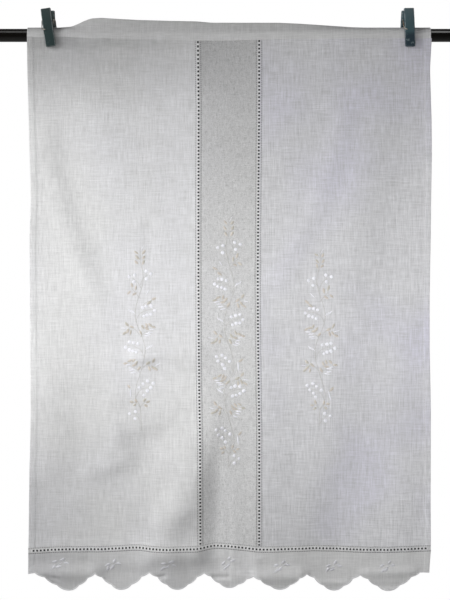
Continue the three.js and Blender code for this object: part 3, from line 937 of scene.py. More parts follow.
def set_uv(piece: Piece, places: Array) -> None:
    """Give a piece a UV map from two numbers for each of its points."""
    corners = np.zeros(len(piece.data.loops), int)
    piece.data.loops.foreach_get("vertex_index", corners)
    layer = piece.data.uv_layers.new(name="cloth")
    layer.data.foreach_set("uv", np.ascontiguousarray(places[corners], float).ravel())


def tidy_shell(piece: Piece, merge: float | None = None) -> None:
    """Turn a piece's faces outwards, after merging doubled points and closing open ends if asked.

    Args:
        piece: The piece.
        merge: Points closer than this are one, in millimetres. None leaves them.
    """
    shape = bmesh.new()
    shape.from_mesh(piece.data)
    if merge is not None:
        bmesh.ops.remove_doubles(shape, verts=shape.verts, dist=merge * MM)
        open_edges = [edge for edge in shape.edges if edge.is_boundary]
        if open_edges:
            bmesh.ops.holes_fill(shape, edges=open_edges, sides=0)
    bmesh.ops.recalc_face_normals(shape, faces=shape.faces)
    shape.to_mesh(piece.data)
    shape.free()


def dress(piece: Piece, slot: str, *finishes: Finish) -> None:
    """Give a piece its finishes and its body.

    Args:
        piece: The piece.
        slot: A material slot's name. Not used.
        finishes: Its finishes, in the order of the piece's material slots.
    """
    for finish in finishes:
        material = bpy.data.materials.get(finish.name)
        piece.data.materials.append(material or finish.material())
    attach(piece, BODY)


def grid_faces(index: Array) -> Array:
    """The faces of a grid, from its points' places in the mesh."""
    return np.stack((index[:-1, :-1], index[1:, :-1], index[1:, 1:], index[:-1, 1:]), -1).reshape(-1, 4)


def tube_faces(rings: int, sides: int) -> list[list[int]]:
    """The faces between rings that follow each other, with so many points each."""
    near = np.arange((rings - 1) * sides).reshape(-1, sides)
    ahead = np.roll(near, -1, axis=1)
    return np.stack((near, ahead, ahead + sides, near + sides), -1).reshape(-1, 4).tolist()


def closed_sheet(name: str, front: Array, back: Array, from_hem: Array | None = None) -> Piece:
    """Close two grids of points into one thin sheet.

    Args:
        name: The piece's name.
        front: Rows by columns by 3, the front face in millimetres.
        back: The same for the back face.
        from_hem: Each column's distance from the nearest hemmed edge, for the UV map.

    Returns:
        The sheet.
    """
    rows, columns = front.shape[:2]
    points = np.concatenate((front.reshape(-1, 3), back.reshape(-1, 3)))
    a, b = np.arange(2 * rows * columns).reshape(2, rows, columns)
    near, far = (np.concatenate((g[0, :-1], g[:-1, -1], g[-1, :0:-1], g[:0:-1, 0])) for g in (a, b))
    rim = np.stack((near, np.roll(near, -1), np.roll(far, -1), far), -1)
    faces = np.concatenate((grid_faces(a), grid_faces(b[:, ::-1]), rim))
    piece = make_object(name, points, faces.tolist())
    if from_hem is not None:
        across = np.broadcast_to(from_hem, (2, rows, columns)).ravel()
        set_uv(piece, np.column_stack((across, points[:, 2])))
    tidy_shell(piece, 0.0)
    smooth(piece, 50)
    return piece


def hung_sheet(name: str, x: Array, z: Array, thick: Array, from_hem: Array) -> Piece:
    """Make a sheet that hangs on the drape.

    Args:
        name: The piece's name.
        x: Its grid's places across.
        z: Its grid's places up.
        thick: Each column's thickness.
        from_hem: Each column's distance from the nearest hemmed edge.

    Returns:
        The sheet.
    """
    y = Drape.middle(x, z)
    front, back = (np.stack((x, y + side * thick / 2, z), -1) for side in (-1, 1))
    return closed_sheet(name, front, back, from_hem)


def sweep(path: Array, section: Array) -> tuple[Array, list[list[int]], Array]:
    """Sweep a section along a path on the cloth.

    Args:
        path: The path's points as x and z.
        section: The section's points, across the path and back from it.

    Returns:
        The points as x, depth and z, the faces with both ends, and each point's distance along.
    """
    ahead, sides = direction(path), len(section)
    x = path[:, :1] - ahead[:, 1:] * section[:, 0]
    z = path[:, 1:] + ahead[:, :1] * section[:, 0]
    points = np.stack((x, np.broadcast_to(section[:, 1], x.shape), z), -1).reshape(-1, 3)
    places = list(range(len(points)))
    faces = [*tube_faces(len(path), sides), places[:sides], places[-sides:]]
    return points, faces, np.repeat(distance(path), sides)


def stitched(
    name: str,
    points: Array,
    faces: Faces,
    along: Array,
    finishes: Sequence[Finish],
    threads: Sequence[int] = (),
) -> Piece:
    """Make a stitched piece.

    Args:
        name: The piece's name.
        points: Its points, in millimetres.
        faces: Its faces, as places in the points.
        along: Each point's distance along the thread pattern.
        finishes: Its threads' finishes.
        threads: Each face's thread, where there is more than one.

    Returns:
        The piece.
    """
    piece = make_object(name, points, faces)
    if threads:
        piece.data.polygons.foreach_set("material_index", threads)
    set_uv(piece, np.column_stack((along, np.zeros(len(along)))))
    tidy_shell(piece)
    smooth(piece, 60)
    dress(piece, "linen_white", *finishes)
    return piece


@dataclass
class Panel:
    """One hanging panel between two upright edges."""

    name: str
    left: Curve
    right: Curve
    finish: LinenFinish
    slot: str
    hem: Hem = Hem.NONE
    spacing: float = 3.0
    rounds: int = 3

    def columns(self, width: float) -> tuple[Array, Array]:
        """Place the columns.

        Args:
            width: The panel's width.

        Returns:
            Each column's share of the width, and the cloth's thickness there.
        """
        if self.hem is Hem.NONE:
            count = round(width / self.spacing)
            return np.linspace(0, 1, count + 1), np.full(count + 1, LINEN)
        count = round((width - HEM_WIDTH) / self.spacing)
        at = np.concatenate((HEM_COLUMNS, np.linspace(HEM_WIDTH, width, count + 1))) / width
        thick = np.concatenate((HEM_PROFILE, np.full(count + 1, LINEN)))
        if self.hem is Hem.RIGHT:
            return 1 - at[::-1], thick[::-1]
        return at, thick

    def build(self) -> Piece:
        """Build the panel and replace its solid. Its points settle between its bent edges in a few rounds."""
        width = float(self.right(MIDDLE_Z) - self.left(MIDDLE_Z))
        share, thick = self.columns(width)
        length = float(HEADER.at("seam", 0) - BOTTOM_TRIM.at("z", 0))
        down = np.linspace(0, 1, round(length / self.spacing) + 1)[:, None]
        x = self.left(MIDDLE_Z) + share * width + 0 * down
        for _ in range(self.rounds):
            top = HEADER.at("seam", x) + SEAM_LAP
            foot = BOTTOM_TRIM.at("z", x) + HALF_TRIM - SEAM_LAP
            z = top + (foot - top) * down
            x = self.left(z) + share * (self.right(z) - self.left(z))
        from_hem = np.full(share.shape, width) if self.hem is Hem.NONE else share * width
        if self.hem is Hem.RIGHT:
            from_hem = width - from_hem
        piece = hung_sheet(f"{self.name}_cloth", x, z, thick, from_hem)
        dress(piece, self.slot, self.finish)
        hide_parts(self.name)
        return piece


@dataclass
class HemstitchTrim:
    """A trim with a row of drawn holes, each with a raised rim and a floor of painted shade."""

    name: str
    path: Array
    finish: TrimFinish
    loose_top: float = 0.0
    loose_reach: float = 70.0
    drift: float = 0.03
    drift_wave: float = 37.0
    plain_ends: int = 0
    rise: float = TRIM_RISE
    rings: tuple[tuple[float, float], ...] = ((1.7, 0.54), (1.4, 0.68), (1.18, 0.52), (1.0, 0.12))
    around: int = 16
    margin_step: float = 0.7
    cut_width: float = 10.6
    hem_share: float = 0.8

    def cell(self, open_hole: bool) -> tuple[Array, list[list[int]], list[int]]:
        """Model one cell of the trim.

        Args:
            open_hole: Whether it has its hole, or is plain.

        Returns:
            Its points as across, along and height, its faces, and each face's material.
        """
        half, flat, unit = HOLE_PITCH / 2, LINEN / 2 + self.rise, circle(self.around)
        square = unit / np.abs(unit).max(1, keepdims=True) * half
        rings = [(square, flat)]
        rings += [(unit * radius, height if open_hole else flat) for radius, height in self.rings]
        rings.append((np.zeros((1, 2)), rings[-1][1]))
        points = [np.column_stack((ring, np.full(len(ring), height))) for ring, height in rings]
        faces = tube_faces(len(rings) - 1, self.around)
        middle = (len(rings) - 1) * self.around
        rim = np.arange(middle - self.around, middle)
        faces += np.column_stack((rim, np.roll(rim, -1), np.full(self.around, middle))).tolist()
        # An open hole's floor and the ring round it take the second finish: painted shade
        dark = 2 * self.around
        materials = [0] * (len(faces) - dark) + [int(open_hole)] * dark
        margins, margin_faces = self.margins(np.unique(square[:, 1].round(6)), half, middle + 1)
        materials += [0] * len(margin_faces)
        return np.concatenate((*points, margins)), faces + margin_faces, materials

    def margins(self, along: Array, inner: float, start: int) -> tuple[Array, list[list[int]]]:
        """The flat cloth on both sides of a hole, out to the trim's edges.

        Args:
            along: Where the hole's square has points along the trim.
            inner: How far from the middle the margins start.
            start: The place of their first point in the cell.

        Returns:
            Their points and faces, with the faces of the trim's two edges.
        """
        across = np.repeat((inner, inner + self.margin_step, HALF_TRIM, HALF_TRIM), len(along))
        height = np.repeat((1, 1, 1, 0), len(along)) * (LINEN / 2 + self.rise)
        index = np.arange(start, start + len(across)).reshape(-1, len(along))
        points, faces = [], []
        for side in (1, -1):
            points.append(np.column_stack((side * across, np.tile(along, 4), height)))
            faces += grid_faces(index)[:, ::side].tolist()
            index = index + len(across)
        return np.concatenate(points), faces

    def beats(self, run: Array) -> Array:
        """Count the cells up to each place of the path.

        Args:
            run: The places' distance along the path.

        Returns:
            The count, which ends in a whole number.
        """
        loose = self.loose_top * np.exp(-run / self.loose_reach)
        pitch = HOLE_PITCH * (1 + loose + self.drift * np.sin(run / self.drift_wave))
        counted = np.concatenate(([0], np.cumsum(np.diff(run) * 2 / (pitch[1:] + pitch[:-1]))))
        return counted * round(counted[-1]) / counted[-1]

    def build(self) -> Piece:
        """Build the trim and replace its solid."""
        run = distance(self.path)
        ahead = np.gradient(self.path, run, axis=0)
        beats = self.beats(run)
        count = round(beats[-1])
        cells = {True: self.cell(True), False: self.cell(False)}
        swell = HEM_THICKNESS / LINEN * self.hem_share - 1
        every, all_faces, all_materials, places = [], [], [], []
        for k in range(count):
            points, faces, materials = cells[self.plain_ends <= k < count - self.plain_ends]
            beat = points[:, 1] / HOLE_PITCH + k + 0.5
            at = np.interp(beat, beats, run)
            middle_x, middle_z, ahead_x, ahead_z = (
                np.interp(at, run, column) for column in (*self.path.T, *ahead.T)
            )
            x = middle_x - ahead_z * points[:, 0]
            z = middle_z + ahead_x * points[:, 0]
            from_end = np.minimum(at, run[-1] - at) if self.plain_ends else np.full(len(at), np.inf)
            full = 1 + swell * (1 - smooth_step(from_end, HEM_WIDTH - 1, HEM_WIDTH))
            for face_side in (-1, 1):
                start = len(every) * len(points)
                every.append(np.stack((x, face_side * points[:, 2] * full, z), -1))
                places.append(np.column_stack((points[:, 0], beat * HOLE_PITCH)))
                all_faces += [[i + start for i in face[::-face_side]] for face in faces]
                all_materials += materials
        every = np.concatenate(every)
        every[:, 1] += Drape.middle(every[:, 0], every[:, 2])
        piece = make_object(f"{self.name}_trim", every, all_faces)
        piece.data.polygons.foreach_set("material_index", all_materials)
        set_uv(piece, np.concatenate(places))
        tidy_shell(piece, 0.02)
        smooth(piece, 60)
        dress(piece, "hemstitch_trim", self.finish, HOLE_SHADE)
        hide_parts(self.name)
        return piece


# The scallops, from notch to notch. The cusps of a side count out from the tip to the notch, and down from
# the notch to the tip. Each bulge is the lobe's between its cusp and the one before.
SCALLOPS = (
    (-238.3, -661.5, -165.3, -663.4, -197.3, -685.1),
    (-165.3, -663.4, -98.3, -661.5, -133.6, -684.0),
    (-98.3, -661.5, -31.2, -663.4, -63.4, -683.5),
    (-31.2, -663.4, 29.3, -666.5, -0.6, -682.2),
    (29.3, -666.5, 95.3, -664.3, 62.2, -683.7),
    (95.3, -664.3, 161.0, -665.8, 128.7, -685.5),
    (161.0, -665.8, 234.5, -662.7, 195.2, -685.5),
)
CUSPS = ((0.36, 0.7, 0.0), (0.71, 0.25, 1.7), (1.0, 0.0, 0.9))
SHOULDER_Z = -663.0


@dataclass
class ScallopBorder:
    """The border along the foot, with its satin edge."""

    name: str = "scallop_border"
    finish: LinenFinish = BORDER_LINEN
    spacing: float = 1.1
    rows: int = 30
    soften: float = 2
    lobe_steps: int = 8
    edge_sides: int = 10
    edge_step: float = 0.9
    edge_rise: float = 0.35
    edge_out: float = 0.95
    edge_deep: float = 0.8

    def side(self, tip: Array, notch: Array) -> Array:
        """Draw one side of a scallop.

        Args:
            tip: The scallop's tip as x and z.
            notch: The notch beside it.

        Returns:
            Points from the tip to the notch.
        """
        across, rise = (notch - tip) * (CUSPS[0][0], 1 - CUSPS[0][1])
        radius = (across**2 + rise**2) / (2 * rise)
        out = np.linspace(0, across, self.lobe_steps + 1)
        line = [np.column_stack((tip[0] + out, tip[1] + radius - np.sqrt(radius**2 - out**2)))]
        ends = [tip + (notch - tip) * (out, 1 - down) for out, down, _ in CUSPS]
        share = np.linspace(0, 1, self.lobe_steps + 1)[1:, None]
        for start, end, (_, _, bulge) in zip(ends, ends[1:], CUSPS[1:]):
            run = end - start
            swell = 4 * share * (1 - share) * bulge / np.hypot(*run) / np.sign(run[0])
            line.append(start + run * share + swell * (run[1], -run[0]))
        return np.concatenate(line)

    def outline(self) -> Array:
        """The edge from the left hem to the right one, as x and z."""
        line = [[[float(SIDES.at("left", SHOULDER_Z)), SHOULDER_Z]]]
        for start, start_z, end, end_z, tip, tip_z in SCALLOPS:
            middle = np.array((tip, tip_z))
            line.append(self.side(middle, np.array((start, start_z)))[::-1])
            line.append(self.side(middle, np.array((end, end_z)))[1:])
        line.append([[float(SIDES.at("right", SHOULDER_Z)), SHOULDER_Z]])
        return np.concatenate(line)

    def build(self) -> list[Piece]:
        """Build the border and its satin edge."""
        outline = self.outline()
        left, right = outline[0, 0], outline[-1, 0]
        width = right - left
        count = round((width - 2 * HEM_WIDTH) / self.spacing)
        inner = np.linspace(HEM_WIDTH, width - HEM_WIDTH, count)
        out = np.concatenate((HEM_COLUMNS, inner, width - np.array(HEM_COLUMNS[::-1])))
        thick = np.concatenate((HEM_PROFILE, np.full(count, LINEN), HEM_PROFILE[::-1]))
        foot = np.interp(left + out, outline[:, 0], outline[:, 1])
        top = BOTTOM_TRIM.at("z", left + out) - HALF_TRIM + SEAM_LAP
        share = np.linspace(0, 1, self.rows + 1)[:, None]
        z = top + (foot - top) * share
        sides = [SIDES.at(side, z, self.soften) for side in ("left", "right")]
        x = sides[0] + (sides[1] - sides[0]) * out / width
        piece = hung_sheet(f"{self.name}_cloth", x, z, thick, np.minimum(out, width - out))
        dress(piece, "linen_white", self.finish)
        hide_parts(self.name)
        satin = self.satin_edge(outline)
        size = (width * MM, float(top.mean() - z.min()) * MM)
        area = float(np.sum((top - foot)[:-1] * np.diff(out))) * MM * MM
        return [piece, satin]

    def satin_edge(self, outline: Array) -> Piece:
        """Build the satin-stitched roll along the edge."""
        path = evenly(outline, round(distance(outline)[-1] / self.edge_step) - 1)
        path[:, 1] += self.edge_rise
        section = circle(self.edge_sides) * (self.edge_out, self.edge_deep)
        points, faces, along = sweep(path, section)
        points[:, 1] += np.repeat(Drape.middle(path[:, 0], path[:, 1]), self.edge_sides)
        return stitched(f"{self.name}_satin_edge", points, faces, along, [EDGE_THREAD])


@dataclass
class Casing:
    """The band folded over the rod, with its header standing up between the pegs."""

    name: str = "casing"
    finish: LinenFinish = CASING_LINEN
    spacing: float = 2.4
    soften: float = 2.5
    arc_steps: int = 220
    steps: int = 60
    thickness: float = 1.1

    def outline(self, x: float) -> Array:
        """The band's middle line at one place across.

        Args:
            x: The place across.

        Returns:
            Points as y and z, from the seam over the crest and round the back to the foot.
        """
        seam, crest, lean = (float(HEADER.at(name, x, self.soften)) for name in ("seam", "crest", "lean"))
        fold_z = crest - SOLID_CLOTH / 2 - FOLD_RADIUS
        foot_y, foot_z = POCKET_FOOT
        foot_angle = math.atan2(foot_z, foot_y) + math.acos(POCKET_RADIUS / math.hypot(foot_y, foot_z))
        angles = np.linspace(math.pi, foot_angle, self.arc_steps)
        out = np.stack((np.cos(angles), np.sin(angles)), -1)
        reach = lean * out[:, 0] + fold_z * out[:, 1] + FOLD_RADIUS
        over = (reach > POCKET_RADIUS) & (angles > 0)
        line = np.where(over[:, None], np.array((lean, fold_z)) + FOLD_RADIUS * out, POCKET_RADIUS * out)
        line = np.concatenate(([[-POCKET_RADIUS, seam - SEAM_LAP]], line, [[foot_y, foot_z]]))
        return evenly(line, self.steps)

    def build(self) -> Piece:
        """Build the casing and replace its solid."""
        left, right = HEADER.key[[0, -1]].tolist()
        stations = np.linspace(left, right, round((right - left) / self.spacing) + 1)
        lines = np.array([self.outline(x) for x in stations])
        ahead = direction(lines, axis=1)
        normal = np.stack((-ahead[..., 1], ahead[..., 0]), -1)
        x = np.broadcast_to(stations[:, None], lines.shape[:2])
        layers = []
        for side in (1, -1):
            yz = lines + normal * side * self.thickness / 2
            layers.append(np.stack((x, yz[..., 0], yz[..., 1]), -1))
        piece = closed_sheet(f"{self.name}_cloth", *layers)
        dress(piece, "linen_white", self.finish)
        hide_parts(self.name)
        band = np.hypot(*np.diff(lines, axis=1).transpose(2, 0, 1)).sum(1).mean()
        (right - left) * MM
        return piece


# Stitching


@dataclass
class Stamp:
    """A small form that is modelled once and copied: along, across and height in millimetres."""

    points: Array
    faces: Faces
    narrowing: ClassVar[dict[float, float]] = {0.33: 0.35, 0.44: 0.55}
    sunk: ClassVar[float] = 0.15

    @classmethod
    def dome(
        cls, length: float, width: float, height: float, segments: int, rings: int, tip: float
    ) -> "Stamp":
        """Model a stitched dome or leaf.

        Args:
            length: Its length.
            width: Its width.
            height: How far it stands up.
            segments: Faces around its length.
            rings: Faces along its length.
            tip: How much its ends are drawn in, from 0.

        Returns:
            The stamp.
        """
        deselect_all()
        bpy.ops.mesh.primitive_uv_sphere_add(
            segments=segments, ring_count=rings, radius=0.5, rotation=(0, math.pi / 2, 0)
        )
        form = bpy.context.object
        bpy.ops.object.transform_apply(location=False, rotation=True, scale=False)
        bpy.ops.object.mode_set(mode="EDIT")
        for place, narrowing in cls.narrowing.items():
            select_points(form, lambda co: abs(co.x) > place)
            narrow = 1 - tip * narrowing
            bpy.ops.transform.resize(value=(1, narrow, narrow), center_override=(0, 0, 0))
        bpy.ops.mesh.select_all(action="SELECT")
        bpy.ops.transform.resize(value=(length, width, 2 * height), center_override=(0, 0, 0))
        foot = (0, 0, -cls.sunk * height)
        bpy.ops.mesh.bisect(plane_co=foot, plane_no=(0, 0, 1), use_fill=True, clear_inner=True)
        bpy.ops.object.mode_set(mode="OBJECT")
        points = np.array([vertex.co for vertex in form.data.vertices])
        faces = [tuple(face.vertices) for face in form.data.polygons]
        bpy.data.objects.remove(form)
        return cls(points, faces)


class Stitching:
    """Stamps and stems that together make one stitched piece."""

    stem_section = np.array(((-1, 0.1), (-0.75, -0.55), (0, -0.8), (0.75, -0.55), (1, 0.1)))
    stem_step = 1.2

    def __init__(self, name: str) -> None:
        """Start an empty piece."""
        self.name = name
        self.points: list[Array] = []
        self.faces: list[Sequence[int]] = []
        self.threads: list[int] = []
        self.along: list[Array] = []
        self.count = 0

    def add(self, points: Array, faces: Faces, along: Array, thread: Thread) -> None:
        """Add a form to the stitching.

        Args:
            points: Its points as x, depth from the cloth's face, and z.
            faces: Its faces, as places in the points.
            along: Each point's distance along the thread pattern.
            thread: Its thread.
        """
        self.points.append(points)
        self.faces += [[i + self.count for i in face] for face in faces]
        self.threads += [thread.value] * len(faces)
        self.along.append(along)
        self.count += len(points)

    def stamp(
        self,
        stamp: Stamp,
        x: float,
        z: float,
        degrees: float,
        thread: Thread,
        size: tuple[float, float] = (1, 1),
    ) -> None:
        """Press a stamp onto the cloth.

        Args:
            stamp: The stamp.
            x: Its middle.
            z: Its middle.
            degrees: The direction of its length, from +X towards +Z.
            thread: Its thread.
            size: Its length's and its width's share of the stamp's own.
        """
        turn = math.radians(degrees)
        along, across = stamp.points[:, 0] * size[0], stamp.points[:, 1] * size[1]
        at_x = x + along * math.cos(turn) - across * math.sin(turn)
        at_z = z + along * math.sin(turn) + across * math.cos(turn)
        self.add(np.stack((at_x, -stamp.points[:, 2], at_z), -1), stamp.faces, along, thread)

    def stem(self, route: Sequence[Place], width: float, thread: Thread) -> None:
        """Lay a stem along a few points of x and z, on a smooth curve.

        Args:
            route: The points.
            width: The stem's width.
            thread: Its thread.
        """
        knots = np.array(route, float)
        count = max(6, round(distance(knots)[-1] / self.stem_step))
        at = np.linspace(0, len(knots) - 1, count)
        padded = np.concatenate(([2 * knots[0] - knots[1]], knots, [2 * knots[-1] - knots[-2]]))
        path = np.array([self.spline(padded, t) for t in at])
        points, faces, along = sweep(path, self.stem_section * width / 2)
        self.add(points, faces, along, thread)

    @staticmethod
    def spline(knots: Array, t: float) -> Array:
        """A point on the smooth curve through the knots, whose first and last only guide it."""
        k = min(int(t), len(knots) - 4)
        t = t - k
        a, b, c, d = knots[k : k + 4]
        return b + 0.5 * t * (c - a + t * (2 * a - 5 * b + 4 * c - d + t * (3 * (b - c) + d - a)))

    def build(self, *finishes: ThreadFinish) -> Piece:
        """Join all into one piece and dress it."""
        points = np.concatenate(self.points)
        points[:, 1] += Drape.front(points[:, 0], points[:, 2])
        return stitched(self.name, points, self.faces, np.concatenate(self.along), finishes, self.threads)


@dataclass
class Stitches:
    """The forms that the stitching is made of."""

    leaf: Stamp = field(default_factory=lambda: Stamp.dome(7.4, 2.9, 0.6, 12, 8, 1.0))
    berry: Stamp = field(default_factory=lambda: Stamp.dome(4.6, 4.2, 0.6, 12, 6, 0.1))
    stitch: Stamp = field(default_factory=lambda: Stamp.dome(2.4, 0.5, 0.28, 6, 4, 0.2))


# The parts of a vine, as places out from its stem and up from a round's middle, in millimetres.
# A leaf's third number is its direction in degrees.
LEVEL_CLUSTER = ((2.8, 4.2), (8.1, 5.3), (13.5, 6.2), (4.6, -6.5), (8.8, -4.9), (13.3, -3.7), (18.0, 0.0))
DROOP_CLUSTER = ((15.6, 6.2), (8.6, 8.2), (4.1, 5.0), (-1.2, 0.4), (12.7, 0.4), (8.1, -3.7), (4.9, -8.6))
FAN_BEIGE = (
    (7.8, -16.9, 112),
    (4.1, -20.1, 118),
    (1.4, -26.4, 128),
    (12.6, -17.6, 150),
    (8.0, -22.6, 160),
    (17.4, -20.4, 172),
)
FAN_WHITE = ((14.4, -22.5, 4), (11.6, -25.9, 0), (10.2, -28.6, -6), (8.4, -31.2, -14))
SPRIG = ((16.5, -16.0, 52), (15.5, -24.6, -58), (10.4, -20.4, 30), (19.2, -27.4, -34), (11.6, -26.6, -70))
SPRIG_WHITE = ((20.9, -21.5, 8),)
END_SPRIGS = ((5.2, -15.0, 60), (9.6, -17.4, 12), (6.6, -21.5, -40))
FEATHER = ((8.0, -1.5), (9.9, -0.6), (11.8, 0.3), (13.7, 1.2))
FEATHER_LEAN = 32
FEATHER_SIZE = (2.2, 1.9)
LONG_WHITE = ((11.5, -6.0, 97),)
LOW_BEIGE = ((14.0, 1.5, 38),)
TRIO = ((6.5, 4.4), (13.0, 1.6), (7.0, -4.6))
TIP_PAIRS = (9.0, 15.4, 21.8)
TIP_TRIOS = ((-1, 41), (1, 37))
TIP_SPRIG = ((4.6, -53.0, 100), (9.9, -49.0, 72), (13.5, -58.8, -40), (7.8, -61.2, -30))
TIP_PAIR = ((16.5, -66, 30), (11.5, -71, 40))
TIP_WHITE = ((9.5, -58, 62),)

# The twigs, as places in the same way
TIP_TENDRIL = ((4, -1), (0.5, -7))
TIP_SPRIG_TWIG = ((-0.4, -66), (5, -60), (10, -54))
TIP_PAIR_TWIG = ((0.6, -78), (7, -71), (15, -68))
FAN_TWIG = ((0.4, -32), (5, -27), (12, -24))
SPRIG_TWIG = ((0.6, -30), (6, -23), (13, -20.5))
END_TWIG = ((0, -24), (4, -19), (8, -17))
FOOT_TWIG = ((-0.2, -8), (3, -2), (7, 1))

# How uneven the hand is, in millimetres, shares of a form's size and degrees
LEAF_SHIFT = 0.5
LEAF_SIZES = (0.85, 1.12)
LEAF_TURN = 8
FEATHER_SHIFT = 0.2
BERRY_SHIFT = 0.3
BERRY_SIZES = (0.84, 1.08)


@dataclass
class Vine:
    """A stitched vine: a feathered tip, and rounds of berries and leaves on alternate sides of its stem."""

    name: str
    x: float
    tip: float
    drops: tuple[float, ...]
    trio: float
    end: float
    first: int
    stitches: Stitches
    swing: float = 6.2

    def build(self) -> Piece:
        """Build the vine as one stitched piece."""
        self.work = Stitching(self.name)
        self.draw = np.random.default_rng(round(abs(self.x) * 10) + len(self.drops))
        self.build_tip()
        for k, drop in enumerate(self.drops):
            side = self.first * (-1) ** k
            last = k == len(self.drops) - 1
            self.build_cluster(self.tip - drop, side, drooping=k >= 2 and k % 2 == 0)
            if last:
                self.build_end_sprigs(self.tip - drop)
            else:
                self.build_fan(self.tip - drop, side)
        self.build_foot(self.first * (-1) ** len(self.drops))
        self.build_stem()
        return self.work.build(BEIGE_THREAD, WHITE_THREAD, STEM_THREAD)

    def leaves(
        self,
        side: int,
        z: float,
        places: Sequence[Leaf],
        thread: Thread = Thread.BEIGE,
        long: float = 1.0,
        wide: float = 1.0,
    ) -> None:
        """Stitch leaves, a little uneven as by hand.

        Args:
            side: 1 for the stem's right side, -1 for its left.
            z: The round's middle.
            places: Each leaf's place out from the stem and up, and its direction in degrees.
            thread: Their thread.
            long: Their length's share of the plain leaf's.
            wide: Their width's share.
        """
        for out, up, turn in places:
            out, up = out + self.draw.normal(0, LEAF_SHIFT), up + self.draw.normal(0, LEAF_SHIFT)
            size = (long * self.draw.uniform(*LEAF_SIZES), wide * self.draw.uniform(*LEAF_SIZES))
            degrees = (turn if side > 0 else 180 - turn) + self.draw.normal(0, LEAF_TURN)
            self.work.stamp(self.stitches.leaf, self.x + side * out, z + up, degrees, thread, size)

    def berries(self, side: int, z: float, places: Sequence[Place], shift: float = 0.0) -> None:
        """Stitch berries, a little uneven as by hand.

        Args:
            side: 1 for the stem's right side, -1 for its left.
            z: The round's middle.
            places: Each berry's place out from the stem and up.
            shift: How far all of them are moved out.
        """
        for out, up in places:
            size = self.draw.uniform(*BERRY_SIZES)
            at_x = self.x + side * (out + shift + self.draw.normal(0, BERRY_SHIFT))
            at_z = z + up + self.draw.normal(0, BERRY_SHIFT)
            turn = self.draw.uniform(0, 180)
            self.work.stamp(self.stitches.berry, at_x, at_z, turn, Thread.WHITE, (size, size))

    def twig(
        self,
        side: int,
        z: float,
        route: Sequence[Place],
        width: float = 0.5,
        thread: Thread = Thread.STEM,
    ) -> None:
        """Stitch a twig.

        Args:
            side: 1 for the stem's right side, -1 for its left.
            z: The round's middle.
            route: Its points as places out from the stem and up.
            width: Its width.
            thread: Its thread.
        """
        self.work.stem([(self.x + side * out, z + up) for out, up in route], width, thread)

    def build_tip(self) -> None:
        """Stitch the tip: three pairs of leaves, two trios of berries and two small sprigs."""
        top = self.tip
        self.twig(1, top, TIP_TENDRIL, 0.45, Thread.WHITE)
        for drop in TIP_PAIRS:
            for side in (-1, 1):
                self.leaves(side, top - drop, [(4.2, 0, 52 + 4 * side)], long=0.95)
        for side, drop in TIP_TRIOS:
            self.berries(side, top - drop, TRIO, 1)
            self.twig(side, top - drop, ((0.5 * self.first * side, -12), (3, -5), (9, 0)))
        self.leaves(-self.first, top, TIP_SPRIG)
        self.twig(-self.first, top, TIP_SPRIG_TWIG)
        self.leaves(self.first, top, TIP_PAIR)
        self.twig(self.first, top, TIP_PAIR_TWIG)
        self.leaves(self.first, top, TIP_WHITE, Thread.WHITE, 1.1, 0.5)

    def build_stem(self) -> None:
        """Stitch the stem, which swings away from each cluster of berries."""
        route = [(0.0, 3.0), (0.2 * self.first, 20.0), (0.6 * self.swing * self.first, 44.0)]
        for k, drop in enumerate(self.drops):
            route.append((-self.swing * self.first * (-1) ** k, drop + 5))
        route += [(0.0, self.drops[-1] + 24), (0.2 * self.swing * self.first, self.end)]
        self.work.stem([(self.x + out, self.tip - down) for out, down in route], 0.55, Thread.STEM)

    def build_cluster(self, z: float, side: int, drooping: bool) -> None:
        """Stitch seven berries, with a feather of long stitches opposite.

        Args:
            z: The cluster's middle.
            side: The side of its berries.
            drooping: Whether it hangs down towards the stem.
        """
        self.berries(side, z, DROOP_CLUSTER if drooping else LEVEL_CLUSTER)
        self.twig(side, z, ((0.6 - self.swing, -13), (-1, -4), (7, 0.4), (16, 2)))
        if drooping:
            self.leaves(-side, z, LONG_WHITE, Thread.WHITE, 2.0, 0.7)
            self.leaves(-side, z, LOW_BEIGE)
            return
        turn = 90 + side * FEATHER_LEAN
        for out, up in FEATHER:
            x = self.x - side * (out + self.draw.normal(0, FEATHER_SHIFT))
            self.work.stamp(self.stitches.stitch, x, z + up, turn, Thread.WHITE, FEATHER_SIZE)

    def build_fan(self, z: float, side: int) -> None:
        """Stitch the fan of leaves below a cluster, with the sprig opposite.

        Args:
            z: The cluster's middle.
            side: The side of its berries.
        """
        self.leaves(side, z, FAN_BEIGE)
        self.leaves(side, z, FAN_WHITE, Thread.WHITE, 1.1, 0.6)
        self.leaves(-side, z, SPRIG)
        self.leaves(-side, z, SPRIG_WHITE, Thread.WHITE, 1.0, 0.5)
        self.twig(-side, z, SPRIG_TWIG)
        self.twig(side, z, FAN_TWIG)

    def build_end_sprigs(self, z: float) -> None:
        """Stitch the small sprigs on both sides under the last cluster."""
        for side in (-1, 1):
            self.leaves(side, z, END_SPRIGS, long=0.8)
            self.twig(side, z, END_TWIG)

    def build_foot(self, side: int) -> None:
        """Stitch the last trio of berries."""
        z = self.tip - self.trio
        self.berries(side, z, TRIO, -0.6)
        self.twig(side, z, FOOT_TWIG)


